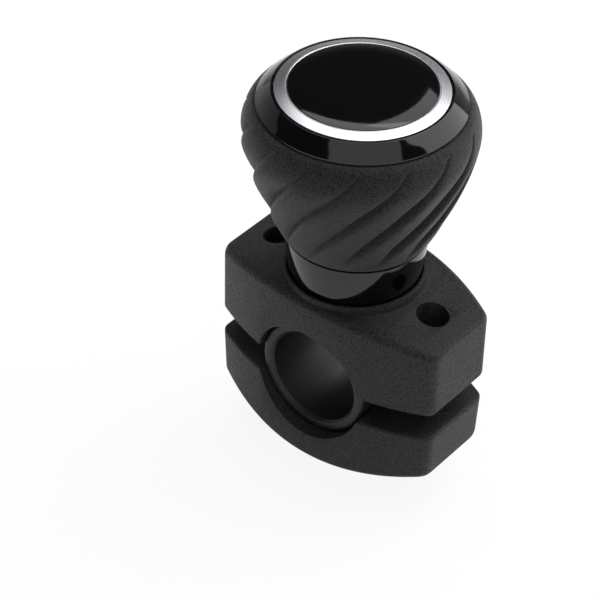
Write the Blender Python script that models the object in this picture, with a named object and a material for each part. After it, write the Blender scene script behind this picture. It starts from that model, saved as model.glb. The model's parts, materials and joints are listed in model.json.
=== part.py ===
"""Steering wheel spinner knob: a ball-bearing knob on a two-piece rim clamp.

The origin is the centre of the rim bore. +Z runs up the knob's axis, +X along the
clamp through its two screws, and +Y along the bore that the wheel rim lies in.
"""
import math

import bmesh
import bpy
from mathutils import Matrix, Vector

MM = 0.001

# Gaps between pieces
SEAT_GAP = 0.25 * MM
SKIN_GAP = 0.3 * MM
PRESS_GAP = 0.1 * MM
BALL_GAP = 0.08 * MM
NECK_GAP = 0.6 * MM

# Rim bore and its rubber liner
RIM_BORE_R = 11.0 * MM
LINER_WALL = 2.8 * MM
LINER_LENGTH = 27.8 * MM
LINER_SLIT = 0.8 * MM
LINER_LIP = 0.7 * MM

# Clamp halves, seen from above as a lens with flat ends
CLAMP_HALF_LENGTH = 29.2 * MM
CLAMP_HALF_DEPTH = 16.7 * MM
CLAMP_SIDE_ARC_R = 63.5 * MM
CLAMP_CORNER_R = 3.0 * MM
CLAMP_END_EDGE = 0.5 * MM
CLAMP_SPLIT_EDGE = 0.7 * MM
UPPER_SPLIT_Z = 2.3 * MM
UPPER_CROWN_Z = 22.5 * MM
UPPER_CROWN_R = 118.0 * MM
UPPER_EDGE_R = 1.8 * MM
LOWER_SPLIT_Z = -4.15 * MM
LOWER_CROWN_Z = -20.8 * MM
LOWER_CROWN_R = 88.0 * MM
LOWER_EDGE_R = 1.6 * MM
LOWER_END_DRAFT = math.radians(3.0)
KNOB_POCKET_DEPTH = 2.2 * MM
KNOB_POCKET_FLARE = 0.7 * MM

# M4 clamp screws with a 3 mm hex socket, and the threaded inserts that they pull
SCREW_END_MARGIN = 8.15 * MM
SCREW_SHANK_R = 2.0 * MM
SCREW_LENGTH = 25.0 * MM
SCREW_HEAD_R = 3.4 * MM
SCREW_HEAD_HEIGHT = 4.0 * MM
SCREW_SOCKET_FLATS = 3.0 * MM
SCREW_SOCKET_DEPTH = 2.2 * MM
SCREW_SEAT_Z = 9.0 * MM
SCREW_HOLE_PLAY = 0.2 * MM
SHANK_PLAY = 0.25 * MM
INSERT_WALL = 0.9 * MM
INSERT_LENGTH = 8.0 * MM
INSERT_GROOVE_DEPTH = 0.3 * MM
INSERT_GROOVE_WIDTH = 1.4 * MM
BLIND_HOLE_SPARE = 0.5 * MM

# Spindle, an M6 countersunk screw that stands up out of the bore's crown
SPINDLE_R = 2.9 * MM
SPINDLE_LENGTH = 35.0 * MM
SPINDLE_HEAD_R = 6.0 * MM
SPINDLE_HEAD_RIM = 0.4 * MM
SPINDLE_SOCKET_FLATS = 4.0 * MM
SPINDLE_SOCKET_DEPTH = 2.0 * MM
SPINDLE_SUNK = 0.3 * MM
WASHER_R = 4.8 * MM
WASHER_THICKNESS = 1.2 * MM
WASHER_CHAMFER = 0.2 * MM
NUT_FLATS = 10.0 * MM
NUT_HEIGHT = 4.6 * MM
NUT_COLLAR_R = 4.3 * MM
NUT_COLLAR_HEIGHT = 1.4 * MM
NUT_CHAMFER = 0.6 * MM

# Deep-groove ball bearings, 6 x 19 x 6 mm with six 3.5 mm balls
BEARING_R = 9.5 * MM
BEARING_WIDTH = 6.0 * MM
BEARING_SPACING = 14.0 * MM
BALL_R = 1.75 * MM
BALL_COUNT = 6
RACE_LAND = 1.05 * MM
RACE_CHAMFER = 0.3 * MM
CAGE_THICKNESS = 1.5 * MM
CAGE_BACK = 0.8 * MM
CAGE_FRONT = 0.9 * MM
CAGE_POCKET_GAP = 0.12 * MM

# Knob: moulded core, rubber grip, bezel, trim ring and domed cap
NECK_R = 14.25 * MM
NECK_TAPER = math.radians(6.2)
NECK_EDGE = 0.5 * MM
NECK_FLOOR_GAP = 0.6 * MM
SHOULDER_BORE_R = 8.0 * MM
HUB_WALL = 2.6 * MM
CORE_WALL = 2.2 * MM
CORE_RIB_COUNT = 6
CORE_RIB_THICKNESS = 1.8 * MM
CORE_POCKET_FLOOR_Z = 43.0 * MM
GRIP_WALL = 2.2 * MM
GRIP_FOOT_LIP = 0.65 * MM
GRIP_FOOT_WALL = 1.7 * MM
GRIP_FOOT_Z = 33.8 * MM
GRIP_FOOT_HANDLE = (2.7 * MM, 3.7 * MM)
GRIP_WIDEST_R = 24.85 * MM
GRIP_WIDEST_Z = 57.4 * MM
GRIP_FLANK_HANDLE = (0.95 * MM, 6.0 * MM)
GRIP_SHOULDER_RISE = 3.2 * MM
GRIP_TOP_HANDLE = (1.9 * MM, 0.8 * MM)
GRIP_TOP_LIP = 0.35 * MM
GRIP_TOP_Z = 65.5 * MM
GROOVE_COUNT = 15
GROOVE_DEPTH = 1.3 * MM
GROOVE_TWIST = math.radians(2.05) / MM
GROOVE_TIP_DROP = 1.9 * MM
GROOVE_TIP_RUN = 8.0 * MM
GROOVE_FOOT_RUN = 6.0 * MM
GROOVE_PHASE = math.radians(-53.9)
BEZEL_INSET = 2.85 * MM
BEZEL_FACE = 3.8 * MM
BEZEL_EDGE = 0.45 * MM
BEZEL_RISE = 2.9 * MM
BEZEL_BULGE = 0.55 * MM
BEZEL_SHELF_THICKNESS = 1.4 * MM
BEZEL_SKIRT_DEPTH = 4.0 * MM
BEZEL_SKIRT_WALL = 1.2 * MM
RING_WIDTH = 2.7 * MM
RING_HEIGHT = 1.0 * MM
RING_SLOPE_RISE = 0.6 * MM
RING_BEVEL = 0.3 * MM
CAP_RISE = 1.0 * MM
CAP_EDGE = 0.3 * MM
CAP_WALL = 1.6 * MM
CAP_LEDGE = 2.95 * MM
CAP_SKIRT_WALL = 1.2 * MM
CAP_SKIRT_DEPTH = 3.0 * MM

# Facets round a turn
FINE = 36
SMALL = 24
FEW = 20
TURN = 2.0 * math.pi

# Sizes that follow from the ones above
SCREW_OFFSET = CLAMP_HALF_LENGTH - SCREW_END_MARGIN
LINER_R = RIM_BORE_R + LINER_WALL
CLAMP_BORE_R = LINER_R + SKIN_GAP
POCKET_FLOOR_Z = UPPER_CROWN_Z - KNOB_POCKET_DEPTH
POCKET_R = NECK_R + NECK_GAP
NECK_BOTTOM_Z = POCKET_FLOOR_Z + NECK_FLOOR_GAP
NECK_TOP_R = NECK_R + (GRIP_FOOT_Z - NECK_BOTTOM_Z) * math.tan(NECK_TAPER)
GRIP_FOOT_R = NECK_TOP_R + GRIP_FOOT_LIP
GRIP_SEAT_R = GRIP_FOOT_R - GRIP_FOOT_WALL
BEZEL_R = GRIP_WIDEST_R - BEZEL_INSET
GRIP_TOP_R = BEZEL_R + GRIP_TOP_LIP
BEARING_BORE_R = SPINDLE_R + PRESS_GAP
BALL_PITCH_R = (BEARING_BORE_R + BEARING_R) / 2
SEAT_WASHER_Z = POCKET_FLOOR_Z + SEAT_GAP
LOWER_BEARING_Z = SEAT_WASHER_Z + WASHER_THICKNESS + SEAT_GAP + BEARING_WIDTH / 2
UPPER_BEARING_Z = LOWER_BEARING_Z + BEARING_SPACING
TOP_WASHER_Z = UPPER_BEARING_Z + BEARING_WIDTH / 2 + SEAT_GAP
NUT_Z = TOP_WASHER_Z + WASHER_THICKNESS + SEAT_GAP
SPINDLE_Z = CLAMP_BORE_R + SPINDLE_SUNK
HUB_R = BEARING_R + PRESS_GAP + HUB_WALL
HUB_TOP_Z = NUT_Z + NUT_HEIGHT + NUT_COLLAR_HEIGHT
CORE_TOP_Z = GRIP_TOP_Z - SEAT_GAP
BEZEL_Z = GRIP_TOP_Z + SEAT_GAP
BEZEL_TOP_Z = BEZEL_Z + BEZEL_EDGE + BEZEL_RISE
RING_R = BEZEL_R - BEZEL_FACE
RING_Z = BEZEL_TOP_Z - RING_HEIGHT
RING_INNER_R = RING_R - RING_WIDTH
SHELF_Z = RING_Z - SEAT_GAP
CAP_R = RING_INNER_R - PRESS_GAP
CAP_SKIRT_R = CAP_R - CAP_LEDGE
CAP_Z = SHELF_Z + SEAT_GAP
CAP_EDGE_Z = RING_Z + RING_HEIGHT + RING_SLOPE_RISE - RING_BEVEL - CAP_EDGE
INSERT_R = SCREW_SHANK_R + PRESS_GAP + INSERT_WALL
SCREW_TIP_Z = SCREW_SEAT_Z + SEAT_GAP - SCREW_LENGTH


def clear_scene():
    for old in list(bpy.data.objects):
        bpy.data.objects.remove(old, do_unlink=True)


def srgb(hex_code):
    """Linear colour of an sRGB hex code."""
    values = [int(hex_code[i:i + 2], 16) / 255 for i in (0, 2, 4)]
    linear = [v / 12.92 if v <= 0.04045 else ((v + 0.055) / 1.055) ** 2.4 for v in values]
    return (*linear, 1.0)


def material(name, hex_code, roughness, metallic=0.0):
    made = bpy.data.materials.new(name)
    made.use_nodes = True
    shader = made.node_tree.nodes["Principled BSDF"]
    shader.inputs["Base Color"].default_value = srgb(hex_code)
    shader.inputs["Roughness"].default_value = roughness
    shader.inputs["Metallic"].default_value = metallic
    made.diffuse_color = srgb(hex_code)
    return made


def empty(name, place, parent=None):
    """A point that pieces are placed from, such as a joint's axis."""
    made = bpy.data.objects.new(name, None)
    made.empty_display_size = 5 * MM
    made.location = place
    made.parent = parent
    bpy.context.scene.collection.objects.link(made)
    return made


def mesh_object(name, bm, finish=None, place=(0, 0, 0), parent=None, sharp=30):
    bmesh.ops.recalc_face_normals(bm, faces=bm.faces)
    mesh = bpy.data.meshes.new(name)
    bm.to_mesh(mesh)
    bm.free()
    mesh.shade_smooth()
    mesh.set_sharp_from_angle(angle=math.radians(sharp))
    made = bpy.data.objects.new(name, mesh)
    made.location = place
    made.parent = parent
    if finish:
        mesh.materials.append(finish)
    bpy.context.scene.collection.objects.link(made)
    return made


def add_boolean(target, other, operation="DIFFERENCE"):
    """Cut or join with another object, which is then only a guide."""
    modifier = target.modifiers.new(f"{operation.lower()} {other.name}", "BOOLEAN")
    modifier.operation = operation
    modifier.solver = "EXACT"
    modifier.object = other
    other.hide_render = True
    other.display_type = "WIRE"


def arc(centre, radius, start, end, steps):
    """Points (r, z) on an arc, with its angles in degrees from the r axis."""
    angles = [math.radians(start + (end - start) * i / steps) for i in range(steps + 1)]
    return [(centre[0] + radius * math.cos(a), centre[1] + radius * math.sin(a)) for a in angles]


def bezier(points, t):
    a, b, c, d = points
    s = 1 - t
    weights = (s ** 3, 3 * s * s * t, 3 * s * t * t, t ** 3)
    return tuple(sum(w * p[k] for w, p in zip(weights, (a, b, c, d))) for k in (0, 1))


def turned_mesh(profile, segments):
    """A closed profile of (r, z) points spun round Z."""
    bm = bmesh.new()
    verts = [bm.verts.new((r, 0.0, z)) for r, z in profile]
    edges = [bm.edges.new((a, b)) for a, b in zip(verts, verts[1:] + verts[:1])]
    on_axis = [e for e in edges if all(v.co.x < 1e-9 for v in e.verts)]
    bmesh.ops.delete(bm, geom=on_axis, context="EDGES_FACES")
    bmesh.ops.spin(bm, geom=bm.verts[:] + bm.edges[:], cent=(0, 0, 0), axis=(0, 0, 1),
                   angle=TURN, steps=segments, use_merge=True)
    bmesh.ops.remove_doubles(bm, verts=bm.verts, dist=1e-7)
    return bm


def turned(name, profile, finish=None, segments=FINE, place=(0, 0, 0), parent=None, sharp=30):
    return mesh_object(name, turned_mesh(profile, segments), finish, place, parent, sharp)


def prism(name, outline, low, high, place=(0, 0, 0), parent=None, finish=None):
    """A straight prism on an outline of (x, y) points."""
    bm = bmesh.new()
    face = bm.faces.new([bm.verts.new((x, y, low)) for x, y in outline])
    grown = bmesh.ops.extrude_face_region(bm, geom=[face])
    top = [v for v in grown["geom"] if isinstance(v, bmesh.types.BMVert)]
    bmesh.ops.translate(bm, verts=top, vec=(0, 0, high - low))
    return mesh_object(name, bm, finish, place, parent)


def hexagon(flats):
    """Corners of a hexagon of the given width across flats."""
    corner = flats / math.sqrt(3)
    return [(corner * math.cos(a), corner * math.sin(a)) for a in (TURN * i / 6 for i in range(6))]


def tube_profile(inner, outer, low, high, chamfer):
    """Section of a tube whose outer edges are chamfered."""
    return [(inner, low), (outer - chamfer, low), (outer, low + chamfer),
            (outer, high - chamfer), (outer - chamfer, high), (inner, high)]


def clamp_plan():
    """Stations (x, half depth) along the clamp, from its middle out to one end."""
    corner_x = CLAMP_HALF_LENGTH - CLAMP_CORNER_R
    inner_r = CLAMP_SIDE_ARC_R - CLAMP_CORNER_R
    centre_y = CLAMP_HALF_DEPTH - CLAMP_SIDE_ARC_R
    corner_y = centre_y + math.sqrt(inner_r ** 2 - corner_x ** 2)
    lean = math.asin(corner_x / inner_r)
    stations = []
    for i in range(7):
        angle = lean * i / 6
        stations.append((CLAMP_SIDE_ARC_R * math.sin(angle), centre_y + CLAMP_SIDE_ARC_R * math.cos(angle)))
    for i in range(1, 4):
        angle = lean + (math.pi / 2 - lean) * i / 3
        stations.append((corner_x + CLAMP_CORNER_R * math.sin(angle),
                         corner_y + CLAMP_CORNER_R * math.cos(angle)))
    return stations


def clamp_section(x, half_depth, split_z, outer_z, edge_r, inset):
    """Section of a clamp half across its length, rounded along its outer and split edges."""
    up = 1 if outer_z > split_z else -1
    split_r = CLAMP_SPLIT_EDGE
    side = [(half_depth - split_r - inset, split_z + up * inset)]
    for angle in (45, 90):
        a = math.radians(angle)
        side.append((half_depth - split_r * (1 - math.sin(a)) - inset * math.sin(a),
                     split_z + up * (split_r * (1 - math.cos(a)) + inset * math.cos(a))))
    for angle in (0, 22.5, 45, 67.5, 90):
        a = math.radians(angle)
        side.append((half_depth - edge_r * (1 - math.cos(a)) - inset * math.cos(a),
                     outer_z - up * (edge_r * (1 - math.sin(a)) + inset * math.sin(a))))
    points = [(y, z) for y, z in side] + [(-y, z) for y, z in reversed(side)]
    return [Vector((x, y, z)) for y, z in points]


def clamp_half_mesh(split_z, crown_z, crown_r, edge_r, end_draft=0.0):
    """Lofts the sections along the clamp and closes its two ends."""
    up = 1 if crown_z > split_z else -1
    half = clamp_plan()
    stations = [(-x, d) for x, d in reversed(half[1:])] + half
    bm = bmesh.new()
    rings = []
    for number, (x, half_depth) in enumerate(stations):
        drop = crown_r - math.sqrt(crown_r ** 2 - x ** 2)
        at_end = number in (0, len(stations) - 1)
        section = clamp_section(x, half_depth, split_z, crown_z - up * drop, edge_r,
                                CLAMP_END_EDGE if at_end else 0.0)
        for point in section:
            point.x *= 1 - math.tan(end_draft) * abs(point.z - split_z) / CLAMP_HALF_LENGTH
        rings.append([bm.verts.new(point) for point in section])
    for a, b in zip(rings, rings[1:]):
        for i in range(len(a)):
            j = (i + 1) % len(a)
            bm.faces.new((a[i], a[j], b[j], b[i]))
    bm.faces.new(rings[0])
    bm.faces.new(reversed(rings[-1]))
    return bm


def turned_along_y(bm):
    """Turns a mesh that was spun round Z so that it lies along Y."""
    bmesh.ops.rotate(bm, verts=bm.verts, cent=(0, 0, 0), matrix=Matrix.Rotation(math.pi / 2, 3, "X"))
    return bm


def bore_cutter(name):
    reach = CLAMP_HALF_DEPTH * 1.5
    bm = turned_mesh([(0, -reach), (CLAMP_BORE_R, -reach), (CLAMP_BORE_R, reach), (0, reach)], FINE)
    return mesh_object(name, turned_along_y(bm))


def make_upper_clamp(finish):
    block = clamp_half_mesh(UPPER_SPLIT_Z, UPPER_CROWN_Z, UPPER_CROWN_R, UPPER_EDGE_R)
    clamp = mesh_object("upper_clamp", block, finish)
    add_boolean(clamp, bore_cutter("upper_bore_cut"))
    above = UPPER_CROWN_Z + CLAMP_CORNER_R
    lip_z = UPPER_CROWN_Z - 2 * KNOB_POCKET_FLARE
    pocket = [(0, POCKET_FLOOR_Z), (POCKET_R, POCKET_FLOOR_Z), (POCKET_R, lip_z)]
    pocket += arc((POCKET_R + KNOB_POCKET_FLARE, lip_z), KNOB_POCKET_FLARE, 180, 90, 3)[1:]
    pocket += [(POCKET_R + KNOB_POCKET_FLARE, above), (0, above)]
    add_boolean(clamp, turned("knob_pocket_cut", pocket))
    sink_r = SPINDLE_HEAD_R + SKIN_GAP
    sink_z = SPINDLE_Z + SPINDLE_HEAD_RIM + SEAT_GAP
    hole_r = SPINDLE_R + SHANK_PLAY
    spindle_hole = [(0, 0), (sink_r, 0), (sink_r, sink_z), (hole_r, sink_z + sink_r - hole_r),
                    (hole_r, above), (0, above)]
    add_boolean(clamp, turned("spindle_hole_cut", spindle_hole, segments=SMALL))
    head_hole_r = SCREW_HEAD_R + SCREW_HOLE_PLAY
    shank_hole_r = SCREW_SHANK_R + SHANK_PLAY
    screw_hole = [(0, -UPPER_CROWN_Z), (shank_hole_r, -UPPER_CROWN_Z), (shank_hole_r, SCREW_SEAT_Z),
                  (head_hole_r, SCREW_SEAT_Z), (head_hole_r, above), (0, above)]
    for side, x in (("left", -SCREW_OFFSET), ("right", SCREW_OFFSET)):
        cutter = turned(f"screw_hole_cut_{side}", screw_hole, segments=SMALL, place=(x, 0, 0))
        add_boolean(clamp, cutter)
    return clamp


def make_lower_clamp(finish, slide):
    block = clamp_half_mesh(LOWER_SPLIT_Z, LOWER_CROWN_Z, LOWER_CROWN_R, LOWER_EDGE_R, LOWER_END_DRAFT)
    clamp = mesh_object("lower_clamp", block, finish, parent=slide)
    add_boolean(clamp, bore_cutter("lower_bore_cut"))
    seat_r = INSERT_R + PRESS_GAP
    seat_z = LOWER_SPLIT_Z - INSERT_LENGTH - 2 * PRESS_GAP
    tip_r = SCREW_SHANK_R + SHANK_PLAY
    tip_z = SCREW_TIP_Z - BLIND_HOLE_SPARE
    hole = [(0, tip_z), (tip_r, tip_z), (tip_r, seat_z), (seat_r, seat_z), (seat_r, 0), (0, 0)]
    for side, x in (("left", -SCREW_OFFSET), ("right", SCREW_OFFSET)):
        cutter = turned(f"insert_hole_cut_{side}", hole, segments=SMALL, place=(x, 0, 0))
        add_boolean(clamp, cutter)
    return clamp


def make_rim_liner(finish):
    """Rubber sleeve lying along Y, bevelled at its mouths and slit along its top."""
    half = LINER_LENGTH / 2
    profile = [(RIM_BORE_R, -half + LINER_LIP), (RIM_BORE_R + LINER_LIP, -half), (LINER_R, -half),
               (LINER_R, half), (RIM_BORE_R + LINER_LIP, half), (RIM_BORE_R, half - LINER_LIP)]
    liner = mesh_object("rim_liner", turned_along_y(turned_mesh(profile, FINE)), finish)
    width, reach = LINER_SLIT / 2, LINER_LENGTH
    outline = [(-width, -reach), (width, -reach), (width, reach), (-width, reach)]
    add_boolean(liner, prism("liner_slit_cut", outline, RIM_BORE_R / 2, LINER_R * 2))
    return liner


def make_clamp_screw(side, x, finish):
    """Socket head screw, with its origin on its own axis under the head."""
    axis = empty(f"{side}_screw_axis", (x, 0, SCREW_SEAT_Z + SEAT_GAP))
    edge = SCREW_SHANK_R / 5
    profile = [(0, -SCREW_LENGTH), (SCREW_SHANK_R - edge, -SCREW_LENGTH),
               (SCREW_SHANK_R, -SCREW_LENGTH + edge), (SCREW_SHANK_R, 0), (SCREW_HEAD_R, 0),
               (SCREW_HEAD_R, SCREW_HEAD_HEIGHT - edge), (SCREW_HEAD_R - edge, SCREW_HEAD_HEIGHT),
               (0, SCREW_HEAD_HEIGHT)]
    screw = turned(f"clamp_screw_{side}", profile, finish, SMALL, parent=axis)
    socket = prism(f"screw_socket_cut_{side}", hexagon(SCREW_SOCKET_FLATS),
                   SCREW_HEAD_HEIGHT - SCREW_SOCKET_DEPTH, SCREW_HEAD_HEIGHT * 2, parent=axis)
    add_boolean(screw, socket)
    return screw


def make_threaded_insert(side, x, finish, slide):
    """Heat-set insert with two barbed bands and a waist between them."""
    top = LOWER_SPLIT_Z - PRESS_GAP
    low = top - INSERT_LENGTH
    middle = (top + low) / 2
    waist = INSERT_R - INSERT_GROOVE_DEPTH
    half = INSERT_GROOVE_WIDTH / 2
    inner = SCREW_SHANK_R + PRESS_GAP
    profile = [(inner, low), (waist, low), (INSERT_R, low + INSERT_GROOVE_DEPTH),
               (INSERT_R, middle - half), (waist, middle - half), (waist, middle + half),
               (INSERT_R, middle + half), (INSERT_R, top), (inner, top)]
    return turned(f"threaded_insert_{side}", profile, finish, FEW, place=(x, 0, 0), parent=slide)


def make_spindle(finish):
    """Countersunk socket screw standing head down in the bore's crown."""
    base = empty("spindle_seat", (0, 0, SPINDLE_Z))
    edge = SPINDLE_R / 6
    cone_z = SPINDLE_HEAD_RIM + SPINDLE_HEAD_R - SPINDLE_R
    profile = [(0, 0), (SPINDLE_HEAD_R, 0), (SPINDLE_HEAD_R, SPINDLE_HEAD_RIM), (SPINDLE_R, cone_z),
               (SPINDLE_R, SPINDLE_LENGTH - edge), (SPINDLE_R - edge, SPINDLE_LENGTH), (0, SPINDLE_LENGTH)]
    spindle = turned("spindle_screw", profile, finish, SMALL, parent=base)
    socket = prism("spindle_socket_cut", hexagon(SPINDLE_SOCKET_FLATS), -SPINDLE_HEAD_R,
                   SPINDLE_SOCKET_DEPTH, parent=base)
    add_boolean(spindle, socket)
    return spindle


def make_washer(name, low, finish):
    profile = tube_profile(BEARING_BORE_R, WASHER_R, 0, WASHER_THICKNESS, WASHER_CHAMFER)
    return turned(name, profile, finish, SMALL, place=(0, 0, low))


def make_lock_nut(finish):
    """Hexagon nut with chamfered corners and the round collar of its nylon ring."""
    corner = NUT_FLATS / math.sqrt(3)
    nut = prism("spindle_lock_nut", hexagon(NUT_FLATS), 0, NUT_HEIGHT, place=(0, 0, NUT_Z), finish=finish)
    rise = NUT_CHAMFER
    clear = corner + rise
    barrel = [(0, -rise), (corner - 2 * rise, -rise), (clear, rise), (clear, NUT_HEIGHT - rise),
              (corner - 2 * rise, NUT_HEIGHT + rise), (0, NUT_HEIGHT + rise)]
    place = (0, 0, NUT_Z)
    add_boolean(nut, turned("nut_chamfer_guide", barrel, segments=SMALL, place=place), "INTERSECT")
    top = NUT_HEIGHT + NUT_COLLAR_HEIGHT
    overlap = NUT_HEIGHT / 2
    collar = [(0, overlap), (NUT_COLLAR_R, overlap), (NUT_COLLAR_R, top - rise / 2),
              (NUT_COLLAR_R - rise / 2, top), (0, top)]
    add_boolean(nut, turned("nut_collar_guide", collar, segments=SMALL, place=place), "UNION")
    hole = [(0, -top), (BEARING_BORE_R, -top), (BEARING_BORE_R, 2 * top), (0, 2 * top)]
    add_boolean(nut, turned("nut_hole_cut", hole, segments=SMALL, place=place))
    return nut


def race_groove(outward):
    """Ball groove of a race, from its lower land to its upper one."""
    radius = BALL_R + BALL_GAP
    reach = math.degrees(math.acos(RACE_LAND / radius))
    middle = 0 if outward else 180
    turn = 1 if outward else -1
    return arc((BALL_PITCH_R, 0), radius, middle - turn * reach, middle + turn * reach, 4)


def make_bearing(level, height, steel, polymer, knob_axis):
    """One ball bearing: two races, a crown cage and its balls."""
    half = BEARING_WIDTH / 2
    edge = RACE_CHAMFER
    land_out = BALL_PITCH_R + RACE_LAND
    land_in = BALL_PITCH_R - RACE_LAND
    outer = race_groove(True) + [(land_out, half), (BEARING_R - edge, half), (BEARING_R, half - edge),
                                 (BEARING_R, edge - half), (BEARING_R - edge, -half), (land_out, -half)]
    turned(f"{level}_outer_race", outer, steel, FEW, (0, 0, height), knob_axis)
    inner = race_groove(False) + [(land_in, half), (BEARING_BORE_R + edge, half),
                                  (BEARING_BORE_R, half - edge), (BEARING_BORE_R, edge - half),
                                  (BEARING_BORE_R + edge, -half), (land_in, -half)]
    turned(f"{level}_inner_race", inner, steel, FEW, (0, 0, height))
    axis = empty(f"{level}_cage_axis", (0, 0, height))
    low = -BALL_R - CAGE_POCKET_GAP - CAGE_BACK
    ring = tube_profile(BALL_PITCH_R - CAGE_THICKNESS / 2, BALL_PITCH_R + CAGE_THICKNESS / 2,
                        low, CAGE_FRONT, CAGE_POCKET_GAP)
    cage = turned(f"{level}_cage", ring, polymer, SMALL, parent=axis)
    pockets = bmesh.new()
    pocket_r = BALL_R + 2 * CAGE_POCKET_GAP
    for number in range(BALL_COUNT):
        angle = TURN * number / BALL_COUNT
        spot = Vector((BALL_PITCH_R * math.cos(angle), BALL_PITCH_R * math.sin(angle), 0))
        facing = Matrix.Rotation(angle, 4, "Z") @ Matrix.Rotation(math.pi / 2, 4, "Y")
        bmesh.ops.create_cone(pockets, cap_ends=True, segments=12, radius1=pocket_r, radius2=pocket_r,
                              depth=2 * CAGE_THICKNESS, matrix=Matrix.Translation(spot) @ facing)
        ball = bmesh.new()
        bmesh.ops.create_icosphere(ball, subdivisions=2, radius=BALL_R)
        mesh_object(f"{level}_ball_{number + 1}", ball, steel, spot, axis)
    add_boolean(cage, mesh_object(f"{level}_cage_pockets_cut", pockets, parent=axis))


def grip_outline(steps):
    """Outer outline (r, z) of the grip from its foot, over the widest point, to its top."""
    foot = (GRIP_FOOT_R, GRIP_FOOT_Z)
    widest = (GRIP_WIDEST_R, GRIP_WIDEST_Z)
    top = (GRIP_TOP_R, GRIP_TOP_Z)
    flank = (foot, (foot[0] + GRIP_FOOT_HANDLE[0], foot[1] + GRIP_FOOT_HANDLE[1]),
             (widest[0] - GRIP_FLANK_HANDLE[0], widest[1] - GRIP_FLANK_HANDLE[1]), widest)
    lean = GRIP_FLANK_HANDLE[0] / GRIP_FLANK_HANDLE[1]
    shoulder = (widest, (widest[0] + lean * GRIP_SHOULDER_RISE, widest[1] + GRIP_SHOULDER_RISE),
                (top[0] + GRIP_TOP_HANDLE[0], top[1] - GRIP_TOP_HANDLE[1]), top)
    lower = round(steps * 0.65)
    points = [bezier(flank, i / lower) for i in range(lower)]
    upper = steps - lower
    return points + [bezier(shoulder, i / upper) for i in range(upper + 1)]


def skin_inner_r(outline, height):
    """Inner radius of the grip at a height: its outer outline less the wall."""
    for (r0, z0), (r1, z1) in zip(outline, outline[1:]):
        if z0 <= height <= z1:
            share = (height - z0) / (z1 - z0)
            return max(r0 + (r1 - r0) * share - GRIP_WALL, GRIP_SEAT_R)
    return max(outline[-1][0] - GRIP_WALL, GRIP_SEAT_R)


def core_heights(count):
    """Heights at which the core's bell and the grip's inside are drawn."""
    return [GRIP_FOOT_Z + (GRIP_TOP_Z - GRIP_FOOT_Z) * i / count for i in range(count + 1)]


def make_grip(finish, knob_axis):
    """Grip sleeve whose swirling grooves deepen from their tips and fade at the foot."""
    outline = grip_outline(15)
    tip_z = GRIP_TOP_Z - GROOVE_TIP_DROP
    # Places across one lobe: a steep rise out of the groove, then a long convex fall to the next
    across = ((0.0, 1.0), (0.09, 0.3), (0.2, 0.0), (0.5, 0.16), (0.78, 0.55))
    bm = bmesh.new()
    rings = []
    for r, z in outline:
        fade_in = min(max((tip_z - z) / GROOVE_TIP_RUN, 0), 1)
        fade_out = min(max((z - GRIP_FOOT_Z) / GROOVE_FOOT_RUN, 0), 1)
        depth = GROOVE_DEPTH * math.sqrt(fade_in) * fade_out
        swirl = GROOVE_PHASE + GROOVE_TWIST * (z - tip_z)
        ring = []
        for lobe in range(GROOVE_COUNT):
            for share, cut in across:
                angle = swirl + TURN * (lobe + share) / GROOVE_COUNT
                radius = r - depth * cut
                ring.append(bm.verts.new((radius * math.cos(angle), radius * math.sin(angle), z)))
        rings.append(ring)
    for z in reversed(core_heights(5)):
        r = skin_inner_r(outline, z)
        swirl = GROOVE_PHASE + GROOVE_TWIST * (z - tip_z)
        rings.append([bm.verts.new((r * math.cos(swirl + TURN * (lobe + share) / GROOVE_COUNT),
                                    r * math.sin(swirl + TURN * (lobe + share) / GROOVE_COUNT), z))
                      for lobe in range(GROOVE_COUNT) for share, cut in across])
    for a, b in zip(rings, rings[1:] + rings[:1]):
        for i in range(len(a)):
            j = (i + 1) % len(a)
            bm.faces.new((a[i], a[j], b[j], b[i]))
    return mesh_object("grip_sleeve", bm, finish, parent=knob_axis, sharp=50)


def make_core(finish, knob_axis):
    """Moulded core: glossy neck, two bearing seats and a ribbed bell under the grip."""
    outline = grip_outline(15)
    seat_r = BEARING_R + PRESS_GAP
    lower_seat_top = LOWER_BEARING_Z + BEARING_WIDTH / 2 + SEAT_GAP
    upper_seat_low = UPPER_BEARING_Z - BEARING_WIDTH / 2 - SEAT_GAP
    foot_z = GRIP_FOOT_Z - SKIN_GAP
    bell = [(skin_inner_r(outline, z) - SKIN_GAP, z) for z in core_heights(5)]
    bell[0] = (GRIP_SEAT_R - SKIN_GAP, foot_z)
    bell[-1] = (bell[-1][0], CORE_TOP_Z)
    rim_r = bell[-1][0] - CORE_WALL
    profile = [(seat_r, NECK_BOTTOM_Z), (NECK_R - NECK_EDGE, NECK_BOTTOM_Z),
               (NECK_R, NECK_BOTTOM_Z + NECK_EDGE), (NECK_TOP_R, foot_z)] + bell
    profile += [(rim_r, CORE_TOP_Z), (rim_r, HUB_TOP_Z), (seat_r, HUB_TOP_Z),
                (seat_r, upper_seat_low), (SHOULDER_BORE_R, upper_seat_low),
                (SHOULDER_BORE_R, lower_seat_top), (seat_r, lower_seat_top)]
    core = turned("knob_core", profile, finish, FINE, parent=knob_axis)
    add_core_pockets(core, outline, rim_r, knob_axis)
    return core


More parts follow.
